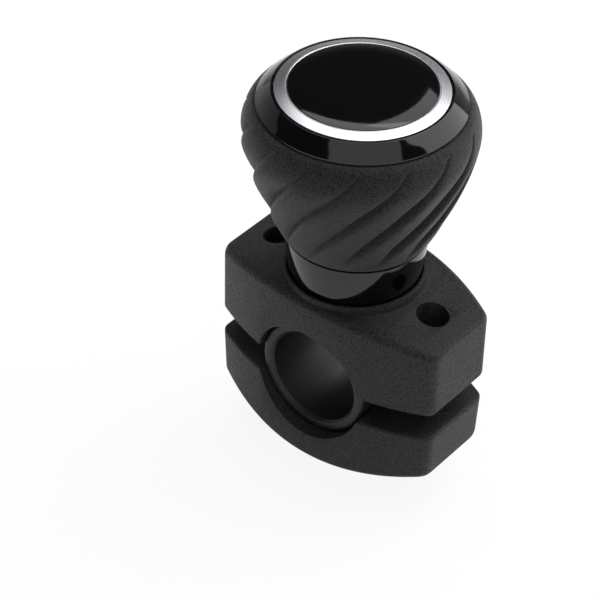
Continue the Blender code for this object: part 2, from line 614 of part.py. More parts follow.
def add_core_pockets(core, outline, rim_r, knob_axis):
    """Cuts the hollow between hub and bell into pockets, which leaves the ribs."""
    heights = [z for z in core_heights(5) if CORE_POCKET_FLOOR_Z < z < HUB_TOP_Z]
    heights = [CORE_POCKET_FLOOR_Z] + heights + [HUB_TOP_Z]
    wall = [(skin_inner_r(outline, z) - SKIN_GAP - CORE_WALL, z) for z in heights]
    above = HUB_TOP_Z + CORE_RIB_THICKNESS
    section = [(HUB_R, above), (HUB_R, CORE_POCKET_FLOOR_Z)] + wall + [(rim_r - PRESS_GAP, above)]
    cutters = bmesh.new()
    for number in range(CORE_RIB_COUNT):
        start = TURN * number / CORE_RIB_COUNT
        rings = []
        for share in (0, 0.25, 0.5, 0.75, 1):
            ring = []
            for r, z in section:
                rib = CORE_RIB_THICKNESS / 2 / r
                angle = start + rib + (TURN / CORE_RIB_COUNT - 2 * rib) * share
                ring.append(cutters.verts.new((r * math.cos(angle), r * math.sin(angle), z)))
            rings.append(ring)
        for a, b in zip(rings, rings[1:]):
            for i in range(len(a)):
                j = (i + 1) % len(a)
                cutters.faces.new((a[i], a[j], b[j], b[i]))
        cutters.faces.new(rings[0])
        cutters.faces.new(reversed(rings[-1]))
    add_boolean(core, mesh_object("core_pockets_cut", cutters, parent=knob_axis))


def make_bezel(finish, knob_axis):
    """Convex ring over the grip's top edge, with a shelf for ring and cap and a snap skirt."""
    edge_z = BEZEL_Z + BEZEL_EDGE
    seat_r = RING_R + PRESS_GAP
    middle = ((BEZEL_R + seat_r) / 2 + BEZEL_BULGE, (edge_z + BEZEL_TOP_Z) / 2 + BEZEL_BULGE)
    face = [bezier(((BEZEL_R, edge_z), middle, middle, (seat_r, BEZEL_TOP_Z)), i / 5) for i in range(6)]
    under_z = SHELF_Z - BEZEL_SHELF_THICKNESS
    core_bore_r = skin_inner_r(grip_outline(15), GRIP_TOP_Z) - SKIN_GAP - CORE_WALL
    skirt_r = core_bore_r - PRESS_GAP * 2
    skirt_z = BEZEL_Z - BEZEL_SKIRT_DEPTH
    inner_r = CAP_SKIRT_R + PRESS_GAP
    profile = [(BEZEL_R, BEZEL_Z)] + face + [
        (seat_r, SHELF_Z), (inner_r, SHELF_Z), (inner_r, under_z),
        (skirt_r - BEZEL_SKIRT_WALL, under_z), (skirt_r - BEZEL_SKIRT_WALL, skirt_z),
        (skirt_r, skirt_z), (skirt_r, BEZEL_Z)]
    return turned("bezel", profile, finish, FINE, parent=knob_axis)


def make_trim_ring(finish, knob_axis):
    top = RING_Z + RING_HEIGHT
    profile = [(RING_INNER_R, RING_Z), (RING_R, RING_Z), (RING_R, top),
               (RING_INNER_R + RING_BEVEL, top + RING_SLOPE_RISE),
               (RING_INNER_R, top + RING_SLOPE_RISE - RING_BEVEL)]
    return turned("trim_ring", profile, finish, FINE, parent=knob_axis)


def make_dome_cap(finish, knob_axis):
    """Blank domed cap with a skirt that snaps into the bezel."""
    dome_r = (CAP_R ** 2 + CAP_RISE ** 2) / (2 * CAP_RISE)
    lean = math.degrees(math.asin((CAP_R - CAP_EDGE) / dome_r))
    crown_z = CAP_EDGE_Z + CAP_EDGE + CAP_RISE
    dome = arc((0, crown_z - dome_r), dome_r, 90, 90 - lean, 5)
    inner_top = CAP_Z + CAP_WALL / 2
    skirt_in = CAP_SKIRT_R - CAP_SKIRT_WALL
    profile = dome + [(CAP_R, CAP_EDGE_Z), (CAP_R, CAP_Z), (CAP_SKIRT_R, CAP_Z),
                      (CAP_SKIRT_R, CAP_Z - CAP_SKIRT_DEPTH), (skirt_in, CAP_Z - CAP_SKIRT_DEPTH),
                      (skirt_in, inner_top), (0, inner_top)]
    return turned("dome_cap", profile, finish, FINE, parent=knob_axis)


def make_bearing_spacer(finish):
    low = LOWER_BEARING_Z + BEARING_WIDTH / 2 + SEAT_GAP
    high = UPPER_BEARING_Z - BEARING_WIDTH / 2 - SEAT_GAP
    profile = tube_profile(BEARING_BORE_R, WASHER_R, low, high, WASHER_CHAMFER)
    return turned("bearing_spacer", profile, finish, SMALL)


def build():
    clear_scene()
    grained_abs = material("grained black ABS", "2b2c2e", 0.55)
    gloss_abs = material("gloss black ABS", "141416", 0.08)
    grip_rubber = material("matte black rubber", "2e2f31", 0.7)
    liner_rubber = material("smooth black rubber", "262729", 0.6)
    brushed = material("brushed aluminium", "d4d5d8", 0.3, 1.0)
    bearing_steel = material("bearing steel", "b9bbbf", 0.2, 1.0)
    zinc_steel = material("zinc-plated steel", "a9aaac", 0.35, 1.0)
    black_steel = material("black oxide steel", "242425", 0.4, 1.0)
    cage_nylon = material("bearing cage nylon", "b9ab8a", 0.5)
    brass = material("brass", "c9a451", 0.35, 1.0)

    knob_axis = empty("knob_axis", (0, 0, 0))
    jaw_slide = empty("jaw_slide", (0, 0, 0))

    make_upper_clamp(grained_abs)
    make_lower_clamp(grained_abs, jaw_slide)
    make_rim_liner(liner_rubber)
    for side, x in (("left", -SCREW_OFFSET), ("right", SCREW_OFFSET)):
        make_clamp_screw(side, x, black_steel)
        make_threaded_insert(side, x, brass, jaw_slide)

    make_spindle(zinc_steel)
    make_washer("seat_washer", SEAT_WASHER_Z, zinc_steel)
    make_washer("top_washer", TOP_WASHER_Z, zinc_steel)
    make_lock_nut(zinc_steel)
    make_bearing_spacer(zinc_steel)
    make_bearing("lower", LOWER_BEARING_Z, bearing_steel, cage_nylon, knob_axis)
    make_bearing("upper", UPPER_BEARING_Z, bearing_steel, cage_nylon, knob_axis)

    make_core(gloss_abs, knob_axis)
    make_grip(grip_rubber, knob_axis)
    make_bezel(gloss_abs, knob_axis)
    make_trim_ring(brushed, knob_axis)
    make_dome_cap(gloss_abs, knob_axis)


build()
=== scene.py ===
"""Looks of a steering wheel spinner knob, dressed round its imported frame.

The middle of the rim bore is the origin. +Z runs up the knob's axis, +X along the
clamp through its two screws, and +Y along the bore. Lengths are in metres.
"""
import json
import math

import bmesh
import bpy
from mathutils import Matrix, Vector


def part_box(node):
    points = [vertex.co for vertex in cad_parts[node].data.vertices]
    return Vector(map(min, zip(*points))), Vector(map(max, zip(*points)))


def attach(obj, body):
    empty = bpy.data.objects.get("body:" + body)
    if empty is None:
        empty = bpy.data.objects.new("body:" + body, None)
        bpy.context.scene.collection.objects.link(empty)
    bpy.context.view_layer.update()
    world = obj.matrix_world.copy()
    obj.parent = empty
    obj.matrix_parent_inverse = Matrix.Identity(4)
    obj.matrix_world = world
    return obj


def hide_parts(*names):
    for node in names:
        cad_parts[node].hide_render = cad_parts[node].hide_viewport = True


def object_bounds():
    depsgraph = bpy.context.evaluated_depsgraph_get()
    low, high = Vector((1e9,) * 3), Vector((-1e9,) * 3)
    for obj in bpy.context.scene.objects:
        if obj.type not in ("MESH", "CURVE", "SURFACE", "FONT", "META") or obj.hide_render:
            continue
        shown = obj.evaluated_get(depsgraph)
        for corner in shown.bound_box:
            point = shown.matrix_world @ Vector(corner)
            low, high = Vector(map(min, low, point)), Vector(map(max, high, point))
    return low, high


MM = 0.001
TURN = 2.0 * math.pi

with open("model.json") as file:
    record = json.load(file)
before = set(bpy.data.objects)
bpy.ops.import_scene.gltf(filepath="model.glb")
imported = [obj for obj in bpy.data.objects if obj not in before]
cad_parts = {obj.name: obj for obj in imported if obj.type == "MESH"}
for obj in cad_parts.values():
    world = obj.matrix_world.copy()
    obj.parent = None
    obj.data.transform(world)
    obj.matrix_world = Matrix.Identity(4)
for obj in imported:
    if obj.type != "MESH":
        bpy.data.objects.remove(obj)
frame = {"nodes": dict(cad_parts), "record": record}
cad_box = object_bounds()

# The photograph's camera: where it stands, how it is rolled, its lens, and where it sees the neck's foot
PHOTO_SIZE = 600
CAMERA_AZIMUTH = math.radians(38.17)
CAMERA_ELEVATION = math.radians(39.60)
CAMERA_ROLL = math.radians(1.58)
CAMERA_DISTANCE = 538.0 * MM
CAMERA_FOCAL_PX = 2500.0
NECK_FOOT_PIXEL = (354.87, 266.77)
SENSOR_MM = 36.0

# Shares of the floor that are plain white to the eye and in mirroring surfaces, and half its width
FLOOR_WHITENESS = 0.9
MIRRORED_FLOOR_WHITENESS = 0.41
FLOOR_HALF = 3.0

# Facets round a turn, on turned pieces and in small holes, and how close points are welded
SMOOTH_TURN = 192
SMALL_TURN = 64
WELD = 0.0001 * MM
GRIP_WELD = 0.001 * MM

# Angles between faces from which an edge is shaded sharp or is eased
SHARP_ANGLE = math.radians(35)
CARVED_SHARP_ANGLE = math.radians(38)
GRIP_SHARP_ANGLE = math.radians(50)
EASED_ANGLE = math.radians(40)

# Ranges that plain noise and a moulded grain mostly stay in
NOISE_SPAN = (0.3, 0.7)
GRAIN_SPAN = (0.35, 0.65)

# Gaps between pieces
SEAT_GAP = 0.25 * MM
SKIN_GAP = 0.3 * MM
PRESS_GAP = 0.1 * MM

# Clamp halves, as lenses with flat ends, and what they hold
CLAMP_SIDE_ARC_R = 63.5 * MM
CLAMP_CORNER_R = 3.0 * MM
CLAMP_END_EDGE = 0.7 * MM
CLAMP_SPLIT_EDGE = 0.7 * MM
CLAMP_CUT_EDGE = 0.3 * MM
CLAMP_SIDE_STEPS = 30
CLAMP_CORNER_STEPS = 14
SPLIT_EDGE_STEPS = 5
OUTER_EDGE_STEPS = 10
UPPER_CROWN_Z = 22.5 * MM
UPPER_CROWN_R = 118.0 * MM
UPPER_EDGE_R = 1.8 * MM
LOWER_CROWN_R = 88.0 * MM
LOWER_EDGE_R = 1.6 * MM
LOWER_END_DRAFT = math.radians(3.0)
JAW_TRAVEL = 7.5 * MM
POCKET_DEPTH = 2.2 * MM
POCKET_RIM_RISE = 1.2 * MM
POCKET_RIM_CREST = 0.6 * MM
POCKET_RIM_FOOT = 0.85 * MM
NECK_GAP = 0.6 * MM
SCREW_HEAD_SEAT_Z = 9.0 * MM
SCREW_HEAD_R = 3.4 * MM
SCREW_HEAD_HEIGHT = 4.0 * MM
SCREW_SHANK_R = 2.0 * MM
SCREW_SOCKET_FLATS = 3.0 * MM
SCREW_SOCKET_DEPTH = 2.2 * MM
SCREW_EDGE = 0.4 * MM
SCREW_SEAT_EDGE = 0.1 * MM
SCREW_HOLE_PLAY = 0.2 * MM
SHANK_PLAY = 0.25 * MM
KNURL_COUNT = 36
KNURL_DEPTH = 0.09 * MM
KNURL_TOLERANCE = 0.01 * MM
SPINDLE_R = 2.9 * MM
SPINDLE_HEAD_R = 6.0 * MM
SPINDLE_HEAD_RIM = 0.4 * MM
SPINDLE_SUNK = 0.3 * MM
INSERT_R = 3.0 * MM
INSERT_LENGTH = 8.0 * MM
BLIND_HOLE_SPARE = 0.5 * MM

# Rubber liner of the bore
LINER_WALL = 2.8 * MM
LINER_LIP = 0.7 * MM
LINER_FACE_EDGE = 0.9 * MM
LINER_MOUTH_EDGE = 0.4 * MM
LINER_BORE_EDGE = 0.5 * MM
LINER_SLIT = 0.8 * MM

# Ball bearings
BALL_COUNT = 6
BALL_SUBDIVISIONS = 4
RACE_GROOVE_STEPS = 16
BALL_GAP = 0.08 * MM
RACE_LAND = 1.05 * MM
RACE_CHAMFER = 0.3 * MM

# Knob
NECK_R = 14.25 * MM
NECK_TAPER = math.radians(6.2)
NECK_EDGE = 0.5 * MM
NECK_TOP_EDGE = 0.15 * MM
BEARING_R = 9.5 * MM
SHOULDER_BORE_R = 8.0 * MM
HUB_WALL = 2.6 * MM
CORE_WALL = 2.2 * MM
CORE_RIB_COUNT = 6
CORE_RIB_THICKNESS = 1.8 * MM
CORE_POCKET_STEPS = 12
CORE_POCKET_FLOOR_Z = 43.0 * MM
GRIP_WALL = 2.2 * MM
GRIP_FOOT_LIP = 0.2 * MM
GRIP_FOOT_WALL = 1.25 * MM
GRIP_FOOT_GAP = 0.55 * MM
GRIP_FOOT_HANDLE = (2.7 * MM, 3.7 * MM)
GRIP_FOOT_EDGE = 0.45 * MM
GRIP_WIDEST_Z = 57.4 * MM
GRIP_WIDEST_OVERHANG = 2.85 * MM
GRIP_FLANK_HANDLE = (0.95 * MM, 6.0 * MM)
GRIP_SHOULDER_RISE = 3.2 * MM
GRIP_TOP_HANDLE = (1.9 * MM, 0.8 * MM)
GRIP_TOP_LIP = 0.35 * MM
GRIP_FLANK_STEPS = 112
GRIP_SHOULDER_STEPS = 38
GRIP_INNER_STEPS = 12
GROOVE_COUNT = 15
GROOVE_DEPTH = 1.3 * MM
GROOVE_TWIST = math.radians(2.05) / MM
GROOVE_TIP_DROP = 1.9 * MM
GROOVE_TIP_RUN = 11.0 * MM
GROOVE_FOOT_RUN = 9.0 * MM
GROOVE_PHASE = math.radians(-53.9)
CHANNEL_WIDTH = 1.3 * MM
CHANNEL_DEPTH = 0.4 * MM
COLUMNS_PER_LOBE = 28
BEZEL_EDGE = 0.45 * MM
BEZEL_FOOT_EDGE = 0.15 * MM
BEZEL_FACE_STEPS = 24
BEZEL_BULGE = 0.08 * MM
BEZEL_LIP = 0.35 * MM
BEZEL_LIP_FALL = 0.1 * BEZEL_LIP
BEZEL_LIP_EDGE = 0.5 * BEZEL_LIP
BEZEL_INNER_EDGE = 0.2 * BEZEL_LIP
BEZEL_GAP = 0.3 * MM
BEZEL_SHELF_THICKNESS = 1.4 * MM
BEZEL_SKIRT_WALL = 1.2 * MM
RING_WIDTH = 2.55 * MM
RING_SLOPE_RISE = 0.6 * MM
RING_OUTER_EDGE = 0.12 * MM
RING_LIP = 0.22 * MM
RING_LIP_FALL = 0.1 * RING_LIP
RING_LIP_EDGE = 0.1 * MM
RING_INNER_FALL = 0.3 * RING_LIP
RING_INNER_EDGE = 0.04 * MM
RING_GROOVE = 0.18 * MM
CAP_GAP = 0.14 * MM
CAP_EDGE = 0.1 * MM
CAP_WALL = 1.6 * MM
DOME_FULLNESS = 5.0
DOME_STEPS = 40
CAP_LEDGE = 2.95 * MM
CAP_SKIRT_WALL = 1.2 * MM

# A lobe's section, as (share of the way to the next groove, share of the groove's depth):
# a steep rise out of the groove, then a long convex fall to the next
LOBE_SECTION = (
    (0.0, 1.0), (0.04, 0.88), (0.14, 0.26), (0.25, 0.0), (0.5, 0.14), (0.78, 0.5), (0.95, 0.92), (1.0, 1.0))

# Sizes read from the frame, and what follows from them
upper_low, upper_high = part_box("upper_clamp")
lower_low, lower_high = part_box("lower_clamp")
liner_low, liner_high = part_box("rim_liner")
core_low, core_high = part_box("knob_core")
grip_low, grip_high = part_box("grip_sleeve")
bezel_low, bezel_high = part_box("bezel")
ring_low, ring_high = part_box("trim_ring")
cap_low, cap_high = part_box("dome_cap")
screw_low, screw_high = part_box("clamp_screw_right")
SCREW_X = (screw_low.x + screw_high.x) / 2
SCREW_AXES = {"left": -SCREW_X, "right": SCREW_X}
CLAMP_HALF_LENGTH = upper_high.x
CLAMP_HALF_DEPTH = upper_high.y
LINER_HALF = liner_high.y
LINER_R = -liner_low.z
RIM_BORE_R = LINER_R - LINER_WALL
CLAMP_BORE_R = LINER_R + SKIN_GAP
POCKET_FLOOR_Z = UPPER_CROWN_Z - POCKET_DEPTH
POCKET_R = NECK_R + NECK_GAP
NECK_TOP_R = NECK_R + (grip_low.z - core_low.z) * math.tan(NECK_TAPER)
BEZEL_R = bezel_high.x
BEZEL_Z = grip_high.z + SEAT_GAP
GRIP_FOOT_R = NECK_TOP_R + GRIP_FOOT_LIP
GRIP_SEAT_R = GRIP_FOOT_R - GRIP_FOOT_WALL
GRIP_WIDEST_R = BEZEL_R + GRIP_WIDEST_OVERHANG
GRIP_TOP_R = BEZEL_R + GRIP_TOP_LIP
RING_R = ring_high.x


def linear(code):
    """Linear colour of an sRGB hex value."""
    parts = [int(code[i:i + 2], 16) / 255 for i in (0, 2, 4)]
    return (*[p / 12.92 if p <= 0.04045 else ((p + 0.055) / 1.055) ** 2.4 for p in parts], 1.0)


def add_node(tree, kind, inputs=(), **settings):
    """Adds a node with its settings, and sets or links its inputs."""
    made = tree.nodes.new(kind)
    for key, value in settings.items():
        setattr(made, key, value)
    for key, value in dict(inputs).items():
        if isinstance(value, bpy.types.NodeSocket):
            tree.links.new(value, made.inputs[key])
        else:
            made.inputs[key].default_value = value
    return made


def float_math(tree, operation, *values):
    """Output of a math node on numbers or sockets."""
    return add_node(tree, "ShaderNodeMath", dict(enumerate(values)), operation=operation).outputs[0]


def new_material(name):
    """An empty material with its Principled shader wired to the output."""
    made = bpy.data.materials.new(name)
    made.use_nodes = True
    tree = made.node_tree
    tree.nodes.clear()
    shader = add_node(tree, "ShaderNodeBsdfPrincipled")
    add_node(tree, "ShaderNodeOutputMaterial", {"Surface": shader.outputs["BSDF"]})
    return made, tree, shader


def noise(tree, size, detail):
    """Noise over patches of the given size, fixed to the object."""
    place = add_node(tree, "ShaderNodeTexCoord").outputs["Object"]
    return add_node(tree, "ShaderNodeTexNoise", {
        "Vector": place, "Scale": 1 / size, "Detail": detail}).outputs["Fac"]


def stretched(tree, value, span, low, high):
    """Maps a value's span onto the range from low to high."""
    return add_node(tree, "ShaderNodeMapRange", {
        "Value": value, "From Min": span[0], "From Max": span[1],
        "To Min": low, "To Max": high}).outputs["Result"]


def relief(tree, shader, height, depth):
    """Bumps a shader's surface by a height whose whole range is the given depth."""
    bump = add_node(tree, "ShaderNodeBump", {"Height": height, "Strength": 1.0, "Distance": depth})
    tree.links.new(bump.outputs["Normal"], shader.inputs["Normal"])


def grain(tree, size, seed):
    """Height of a moulded grain: rounded pebbles of the given size, broken up by finer noise."""
    place = add_node(tree, "ShaderNodeTexCoord").outputs["Object"]
    moved = add_node(tree, "ShaderNodeMapping", {"Vector": place, "Location": (seed, seed, seed)})
    pebbles = add_node(tree, "ShaderNodeTexVoronoi", {
        "Vector": moved.outputs["Vector"], "Scale": 1 / size, "Randomness": 1.0}, feature="F1")
    fine = add_node(tree, "ShaderNodeTexNoise", {
        "Vector": moved.outputs["Vector"], "Scale": 2.2 / size, "Detail": 3.0})
    crests = float_math(tree, "SUBTRACT", 1.0, pebbles.outputs["Distance"])
    return add_node(tree, "ShaderNodeMix", {
        "Factor": 0.55, "A": crests, "B": fine.outputs["Fac"]}).outputs["Result"]


def tone(tree, share, dark, light):
    """Blend of two hex colours, all dark at the low end of the grain's span and all light at the high. On a
    grain's height, the dark end is painted shade in its hollows.
    """
    ramp = add_node(tree, "ShaderNodeValToRGB", {"Fac": share})
    for element, position, code in zip(ramp.color_ramp.elements, GRAIN_SPAN, (dark, light)):
        element.position = position
        element.color = linear(code)
    return ramp.outputs["Color"]


def moulded(name, dark, light, roughness, grain_size, grain_height, seed=0.0, specular=0.5):
    """A moulded polymer whose grain's hollows carry painted shade and are duller, and whose crests are
    lighter and smoother.
    """
    made, tree, shader = new_material(name)
    height = grain(tree, grain_size, seed)
    rough = stretched(tree, height, GRAIN_SPAN, roughness + 0.07, roughness - 0.07)
    # Painted shade: the base colour darkens from the crests' own colour to the dark one down in the grain's
    # hollows.
    tree.links.new(tone(tree, height, dark, light), shader.inputs["Base Color"])
    tree.links.new(rough, shader.inputs["Roughness"])
    relief(tree, shader, height, grain_height)
    shader.inputs["IOR"].default_value = 1.5
    shader.inputs["Specular IOR Level"].default_value = specular
    return made


def grained_abs():
    """Spark-eroded mould grain on ABS: an even, dry black with a fine sparkle at grazing light."""
    # 070708 is painted shade for the grain's hollows, 2b2c30 the plastic's own black on the crests.
    return moulded("grained black ABS", "070708", "2b2c30", roughness=0.45, grain_size=0.4 * MM,
                   grain_height=0.2 * MM, specular=0.23)


def grip_rubber():
    """Soft moulded rubber: deeper and drier than the plastic, with a faint bloom."""
    # 070708 is painted shade for the grain's hollows, 27282b the rubber's own black on the crests.
    made = moulded("matte black rubber", "070708", "27282b", roughness=0.54, grain_size=0.4 * MM,
                   grain_height=0.2 * MM, seed=0.3, specular=0.16)
    shader = made.node_tree.nodes["Principled BSDF"]
    shader.inputs["Sheen Weight"].default_value = 0.12
    shader.inputs["Sheen Roughness"].default_value = 0.5
    return made


def liner_rubber():
    """Moulded rubber with hardly any grain."""
    # 121315 is painted shade for the grain's hollows, 161719 the rubber's own colour on the crests.
    return moulded("smooth black rubber", "121315", "161719", roughness=0.42, grain_size=0.6 * MM,
                   grain_height=0.012 * MM, seed=0.6, specular=0.35)


def gloss_abs():
    """Piano-black ABS out of a polished mould: mirror-like, with a trace of flow in the surface."""
    made, tree, shader = new_material("gloss black ABS")
    flow = noise(tree, 4 * MM, 1.0)
    handling = noise(tree, 1.5 * MM, 4.0)
    shader.inputs["Base Color"].default_value = linear("060607")
    shader.inputs["IOR"].default_value = 1.49
    tree.links.new(stretched(tree, handling, NOISE_SPAN, 0.05, 0.09), shader.inputs["Roughness"])
    relief(tree, shader, flow, 0.006 * MM)
    return made


def turned_metal(name, code, roughness, line_pitch, line_depth, stretch=0.0):
    """Bare metal with the fine rings of a lathe round the object's Z axis.

    A stretch above 0 spreads its highlights across those rings.
    """
    made, tree, shader = new_material(name)
    place = add_node(tree, "ShaderNodeTexCoord").outputs["Object"]
    flat = add_node(tree, "ShaderNodeVectorMath", {0: place, 1: (1, 1, 0)}, operation="MULTIPLY")
    radius = add_node(tree, "ShaderNodeVectorMath", {0: flat.outputs["Vector"]}, operation="LENGTH")
    rings = add_node(tree, "ShaderNodeTexNoise", {
        "W": radius.outputs["Value"], "Scale": 1 / line_pitch, "Detail": 3.0}, noise_dimensions="1D")
    rough = stretched(tree, rings.outputs["Fac"], NOISE_SPAN, roughness - 0.05, roughness + 0.07)
    shader.inputs["Base Color"].default_value = linear(code)
    shader.inputs["Metallic"].default_value = 1.0
    if stretch:
        along = add_node(tree, "ShaderNodeTangent", direction_type="RADIAL", axis="Z")
        shader.inputs["Anisotropic"].default_value = stretch
        tree.links.new(along.outputs["Tangent"], shader.inputs["Tangent"])
    tree.links.new(rough, shader.inputs["Roughness"])
    relief(tree, shader, rings.outputs["Fac"], line_depth)
    return made


def plated_metal(name, dark, light, roughness):
    """Plated or oxidised steel, slightly mottled."""
    made, tree, shader = new_material(name)
    mottle = noise(tree, 0.8 * MM, 4.0)
    rough = stretched(tree, mottle, NOISE_SPAN, roughness - 0.08, roughness + 0.08)
    tree.links.new(tone(tree, noise(tree, 2 * MM, 2.0), dark, light), shader.inputs["Base Color"])
    tree.links.new(rough, shader.inputs["Roughness"])
    shader.inputs["Metallic"].default_value = 1.0
    return made


def rounded(corners, steps=5):
    """Outline through (x, y, fillet) corners, each rounded by an arc of its own fillet."""
    points = []
    for i, (x, y, fillet) in enumerate(corners):
        here = Vector((x, y))
        if not fillet:
            points.append((x, y))
            continue
        before = (Vector(corners[i - 1][:2]) - here).normalized()
        after = (Vector(corners[(i + 1) % len(corners)][:2]) - here).normalized()
        half = before.angle(after) / 2
        centre = here + (before + after).normalized() * fillet / math.sin(half)
        start = here + before * fillet / math.tan(half) - centre
        end = here + after * fillet / math.tan(half) - centre
        sweep = start.angle_signed(end)
        for k in range(steps + 1):
            spoke = start.copy()
            spoke.rotate(Matrix.Rotation(-sweep * k / steps, 2))
            points.append(tuple(centre + spoke))
    return points


def arc(centre, radius, start, end, steps):
    """Points (r, z) on an arc, with its angles in degrees from the r axis."""
    angles = [math.radians(start + (end - start) * i / steps) for i in range(steps + 1)]
    return [(centre[0] + radius * math.cos(a), centre[1] + radius * math.sin(a)) for a in angles]


def bezier(points, t):
    """Point at share t along the curve of four control points."""
    s = 1 - t
    weights = (s ** 3, 3 * s * s * t, 3 * s * t * t, t ** 3)
    return tuple(sum(w * p[k] for w, p in zip(weights, points)) for k in (0, 1))


def mesh_piece(name, bm, material):
    """Turns a finished bmesh into an object at the origin, shaded smooth between its edges."""
    bmesh.ops.recalc_face_normals(bm, faces=bm.faces)
    mesh = bpy.data.meshes.new(name)
    bm.to_mesh(mesh)
    bm.free()
    mesh.shade_smooth()
    mesh.set_sharp_from_angle(angle=SHARP_ANGLE)
    piece = bpy.data.objects.new(name, mesh)
    if material:
        mesh.materials.append(material)
    bpy.context.scene.collection.objects.link(piece)
    return piece


def turned_mesh(profile, segments=SMOOTH_TURN):
    """A closed profile of (r, z) points spun round Z."""
    bm = bmesh.new()
    verts = [bm.verts.new((max(r, 0.0), 0.0, z)) for r, z in profile]
    edges = [bm.edges.new((a, b)) for a, b in zip(verts, verts[1:] + verts[:1])]
    on_axis = [e for e in edges if all(v.co.x < WELD for v in e.verts)]
    bmesh.ops.delete(bm, geom=on_axis, context="EDGES_FACES")
    bmesh.ops.spin(bm, geom=bm.verts[:] + bm.edges[:], cent=(0, 0, 0), axis=(0, 0, 1),
                   angle=TURN, steps=segments, use_merge=True)
    bmesh.ops.remove_doubles(bm, verts=bm.verts, dist=WELD)
    return bm


def skin(bm, rings):
    """Joins equal rings of vertices in turn, and closes both ends."""
    for a, b in zip(rings, rings[1:]):
        for i in range(len(a)):
            j = (i + 1) % len(a)
            bm.faces.new((a[i], a[j], b[j], b[i]))
    bm.faces.new(rings[0])
    bm.faces.new(reversed(rings[-1]))


def turned_along_y(bm):
    """Turns a mesh that was spun round Z so that it lies along Y."""
    bmesh.ops.rotate(bm, verts=bm.verts, cent=(0, 0, 0), matrix=Matrix.Rotation(math.pi / 2, 3, "X"))
    return bm


def prism_mesh(outline, low, high, at=(0, 0, 0)):
    """An (x, y) outline drawn out from one height to another."""
    bm = bmesh.new()
    face = bm.faces.new([bm.verts.new((x, y, low)) for x, y in outline])
    grown = bmesh.ops.extrude_face_region(bm, geom=[face])
    top = [v for v in grown["geom"] if isinstance(v, bmesh.types.BMVert)]
    bmesh.ops.translate(bm, verts=top, vec=(0, 0, high - low))
    bmesh.ops.translate(bm, verts=bm.verts, vec=at)
    return bm


def hexagon(flats):
    """Outline of a hexagon of the given width across its flats."""
    corner = flats / math.sqrt(3)
    return [(corner * math.cos(a), corner * math.sin(a)) for a in (TURN * i / 6 for i in range(6))]


def settle(piece):
    """Replaces a piece's mesh by its evaluated one, and removes its modifiers."""
    graph = bpy.context.evaluated_depsgraph_get()
    mesh = bpy.data.meshes.new_from_object(piece.evaluated_get(graph))
    piece.modifiers.clear()
    piece.data = mesh
    return piece


def carve(piece, cutters, edge=0.0, additions=()):
    """Adds the additions to a piece, cuts the cutters out of it, and eases its sharp edges."""
    steps = [("UNION", bm) for bm in additions] + [("DIFFERENCE", bm) for bm in cutters]
    for operation, bm in steps:
        tool = mesh_piece("carving tool", bm, None)
        modifier = piece.modifiers.new("carve", "BOOLEAN")
        modifier.operation = operation
        modifier.solver = "EXACT"
        modifier.object = tool
        settle(piece)
        bpy.data.objects.remove(tool)
    if edge:
        modifier = piece.modifiers.new("edge", "BEVEL")
        modifier.width = edge
        modifier.segments = 2
        modifier.limit_method = "ANGLE"
        modifier.angle_limit = EASED_ANGLE
        modifier.use_clamp_overlap = True
        settle(piece)
    piece.data.shade_smooth()
    piece.data.set_sharp_from_angle(angle=CARVED_SHARP_ANGLE)


def stand_for(piece, body, slot, *nodes):
    """Rides a finished piece on its body in place of the solids that it dresses."""
    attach(piece, body)
    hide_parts(*nodes)


def clamp_plan():
    """Stations (x, half depth, end inset) from the clamp's middle out to one end."""
    corner_x = CLAMP_HALF_LENGTH - CLAMP_CORNER_R
    inner_r = CLAMP_SIDE_ARC_R - CLAMP_CORNER_R
    centre_y = CLAMP_HALF_DEPTH - CLAMP_SIDE_ARC_R
    corner_y = centre_y + math.sqrt(inner_r ** 2 - corner_x ** 2)
    lean = math.asin(corner_x / inner_r)
    plan = []
    for i in range(CLAMP_SIDE_STEPS + 1):
        angle = lean * i / CLAMP_SIDE_STEPS
        plan.append((CLAMP_SIDE_ARC_R * math.sin(angle), centre_y + CLAMP_SIDE_ARC_R * math.cos(angle)))
    for i in range(1, CLAMP_CORNER_STEPS + 1):
        angle = lean + (math.pi / 2 - lean) * i / CLAMP_CORNER_STEPS
        plan.append((corner_x + CLAMP_CORNER_R * math.sin(angle),
                     corner_y + CLAMP_CORNER_R * math.cos(angle)))
    stations = []
    for x, depth in plan:
        into_edge = max(0.0, x - (CLAMP_HALF_LENGTH - CLAMP_END_EDGE))
        stations.append((x, depth, CLAMP_END_EDGE - math.sqrt(CLAMP_END_EDGE ** 2 - into_edge ** 2)))
    return stations


def clamp_section(x, half_depth, inset, split_z, outer_z, edge_r):
    """Section of a clamp half across its length, rounded along its outer and split edges."""
    up = 1 if outer_z > split_z else -1
    low = split_z + up * inset
    high = outer_z - up * inset
    side = []
    for i in range(SPLIT_EDGE_STEPS + 1):
        a = math.pi / 2 * i / SPLIT_EDGE_STEPS
        side.append((half_depth - CLAMP_SPLIT_EDGE * (1 - math.sin(a)),
                     low + up * CLAMP_SPLIT_EDGE * (1 - math.cos(a))))
    for i in range(OUTER_EDGE_STEPS + 1):
        a = math.pi / 2 * i / OUTER_EDGE_STEPS
        side.append((half_depth - edge_r * (1 - math.cos(a)), high - up * edge_r * (1 - math.sin(a))))
    points = side + [(-y, z) for y, z in reversed(side)]
    return [Vector((x, y, z)) for y, z in points]


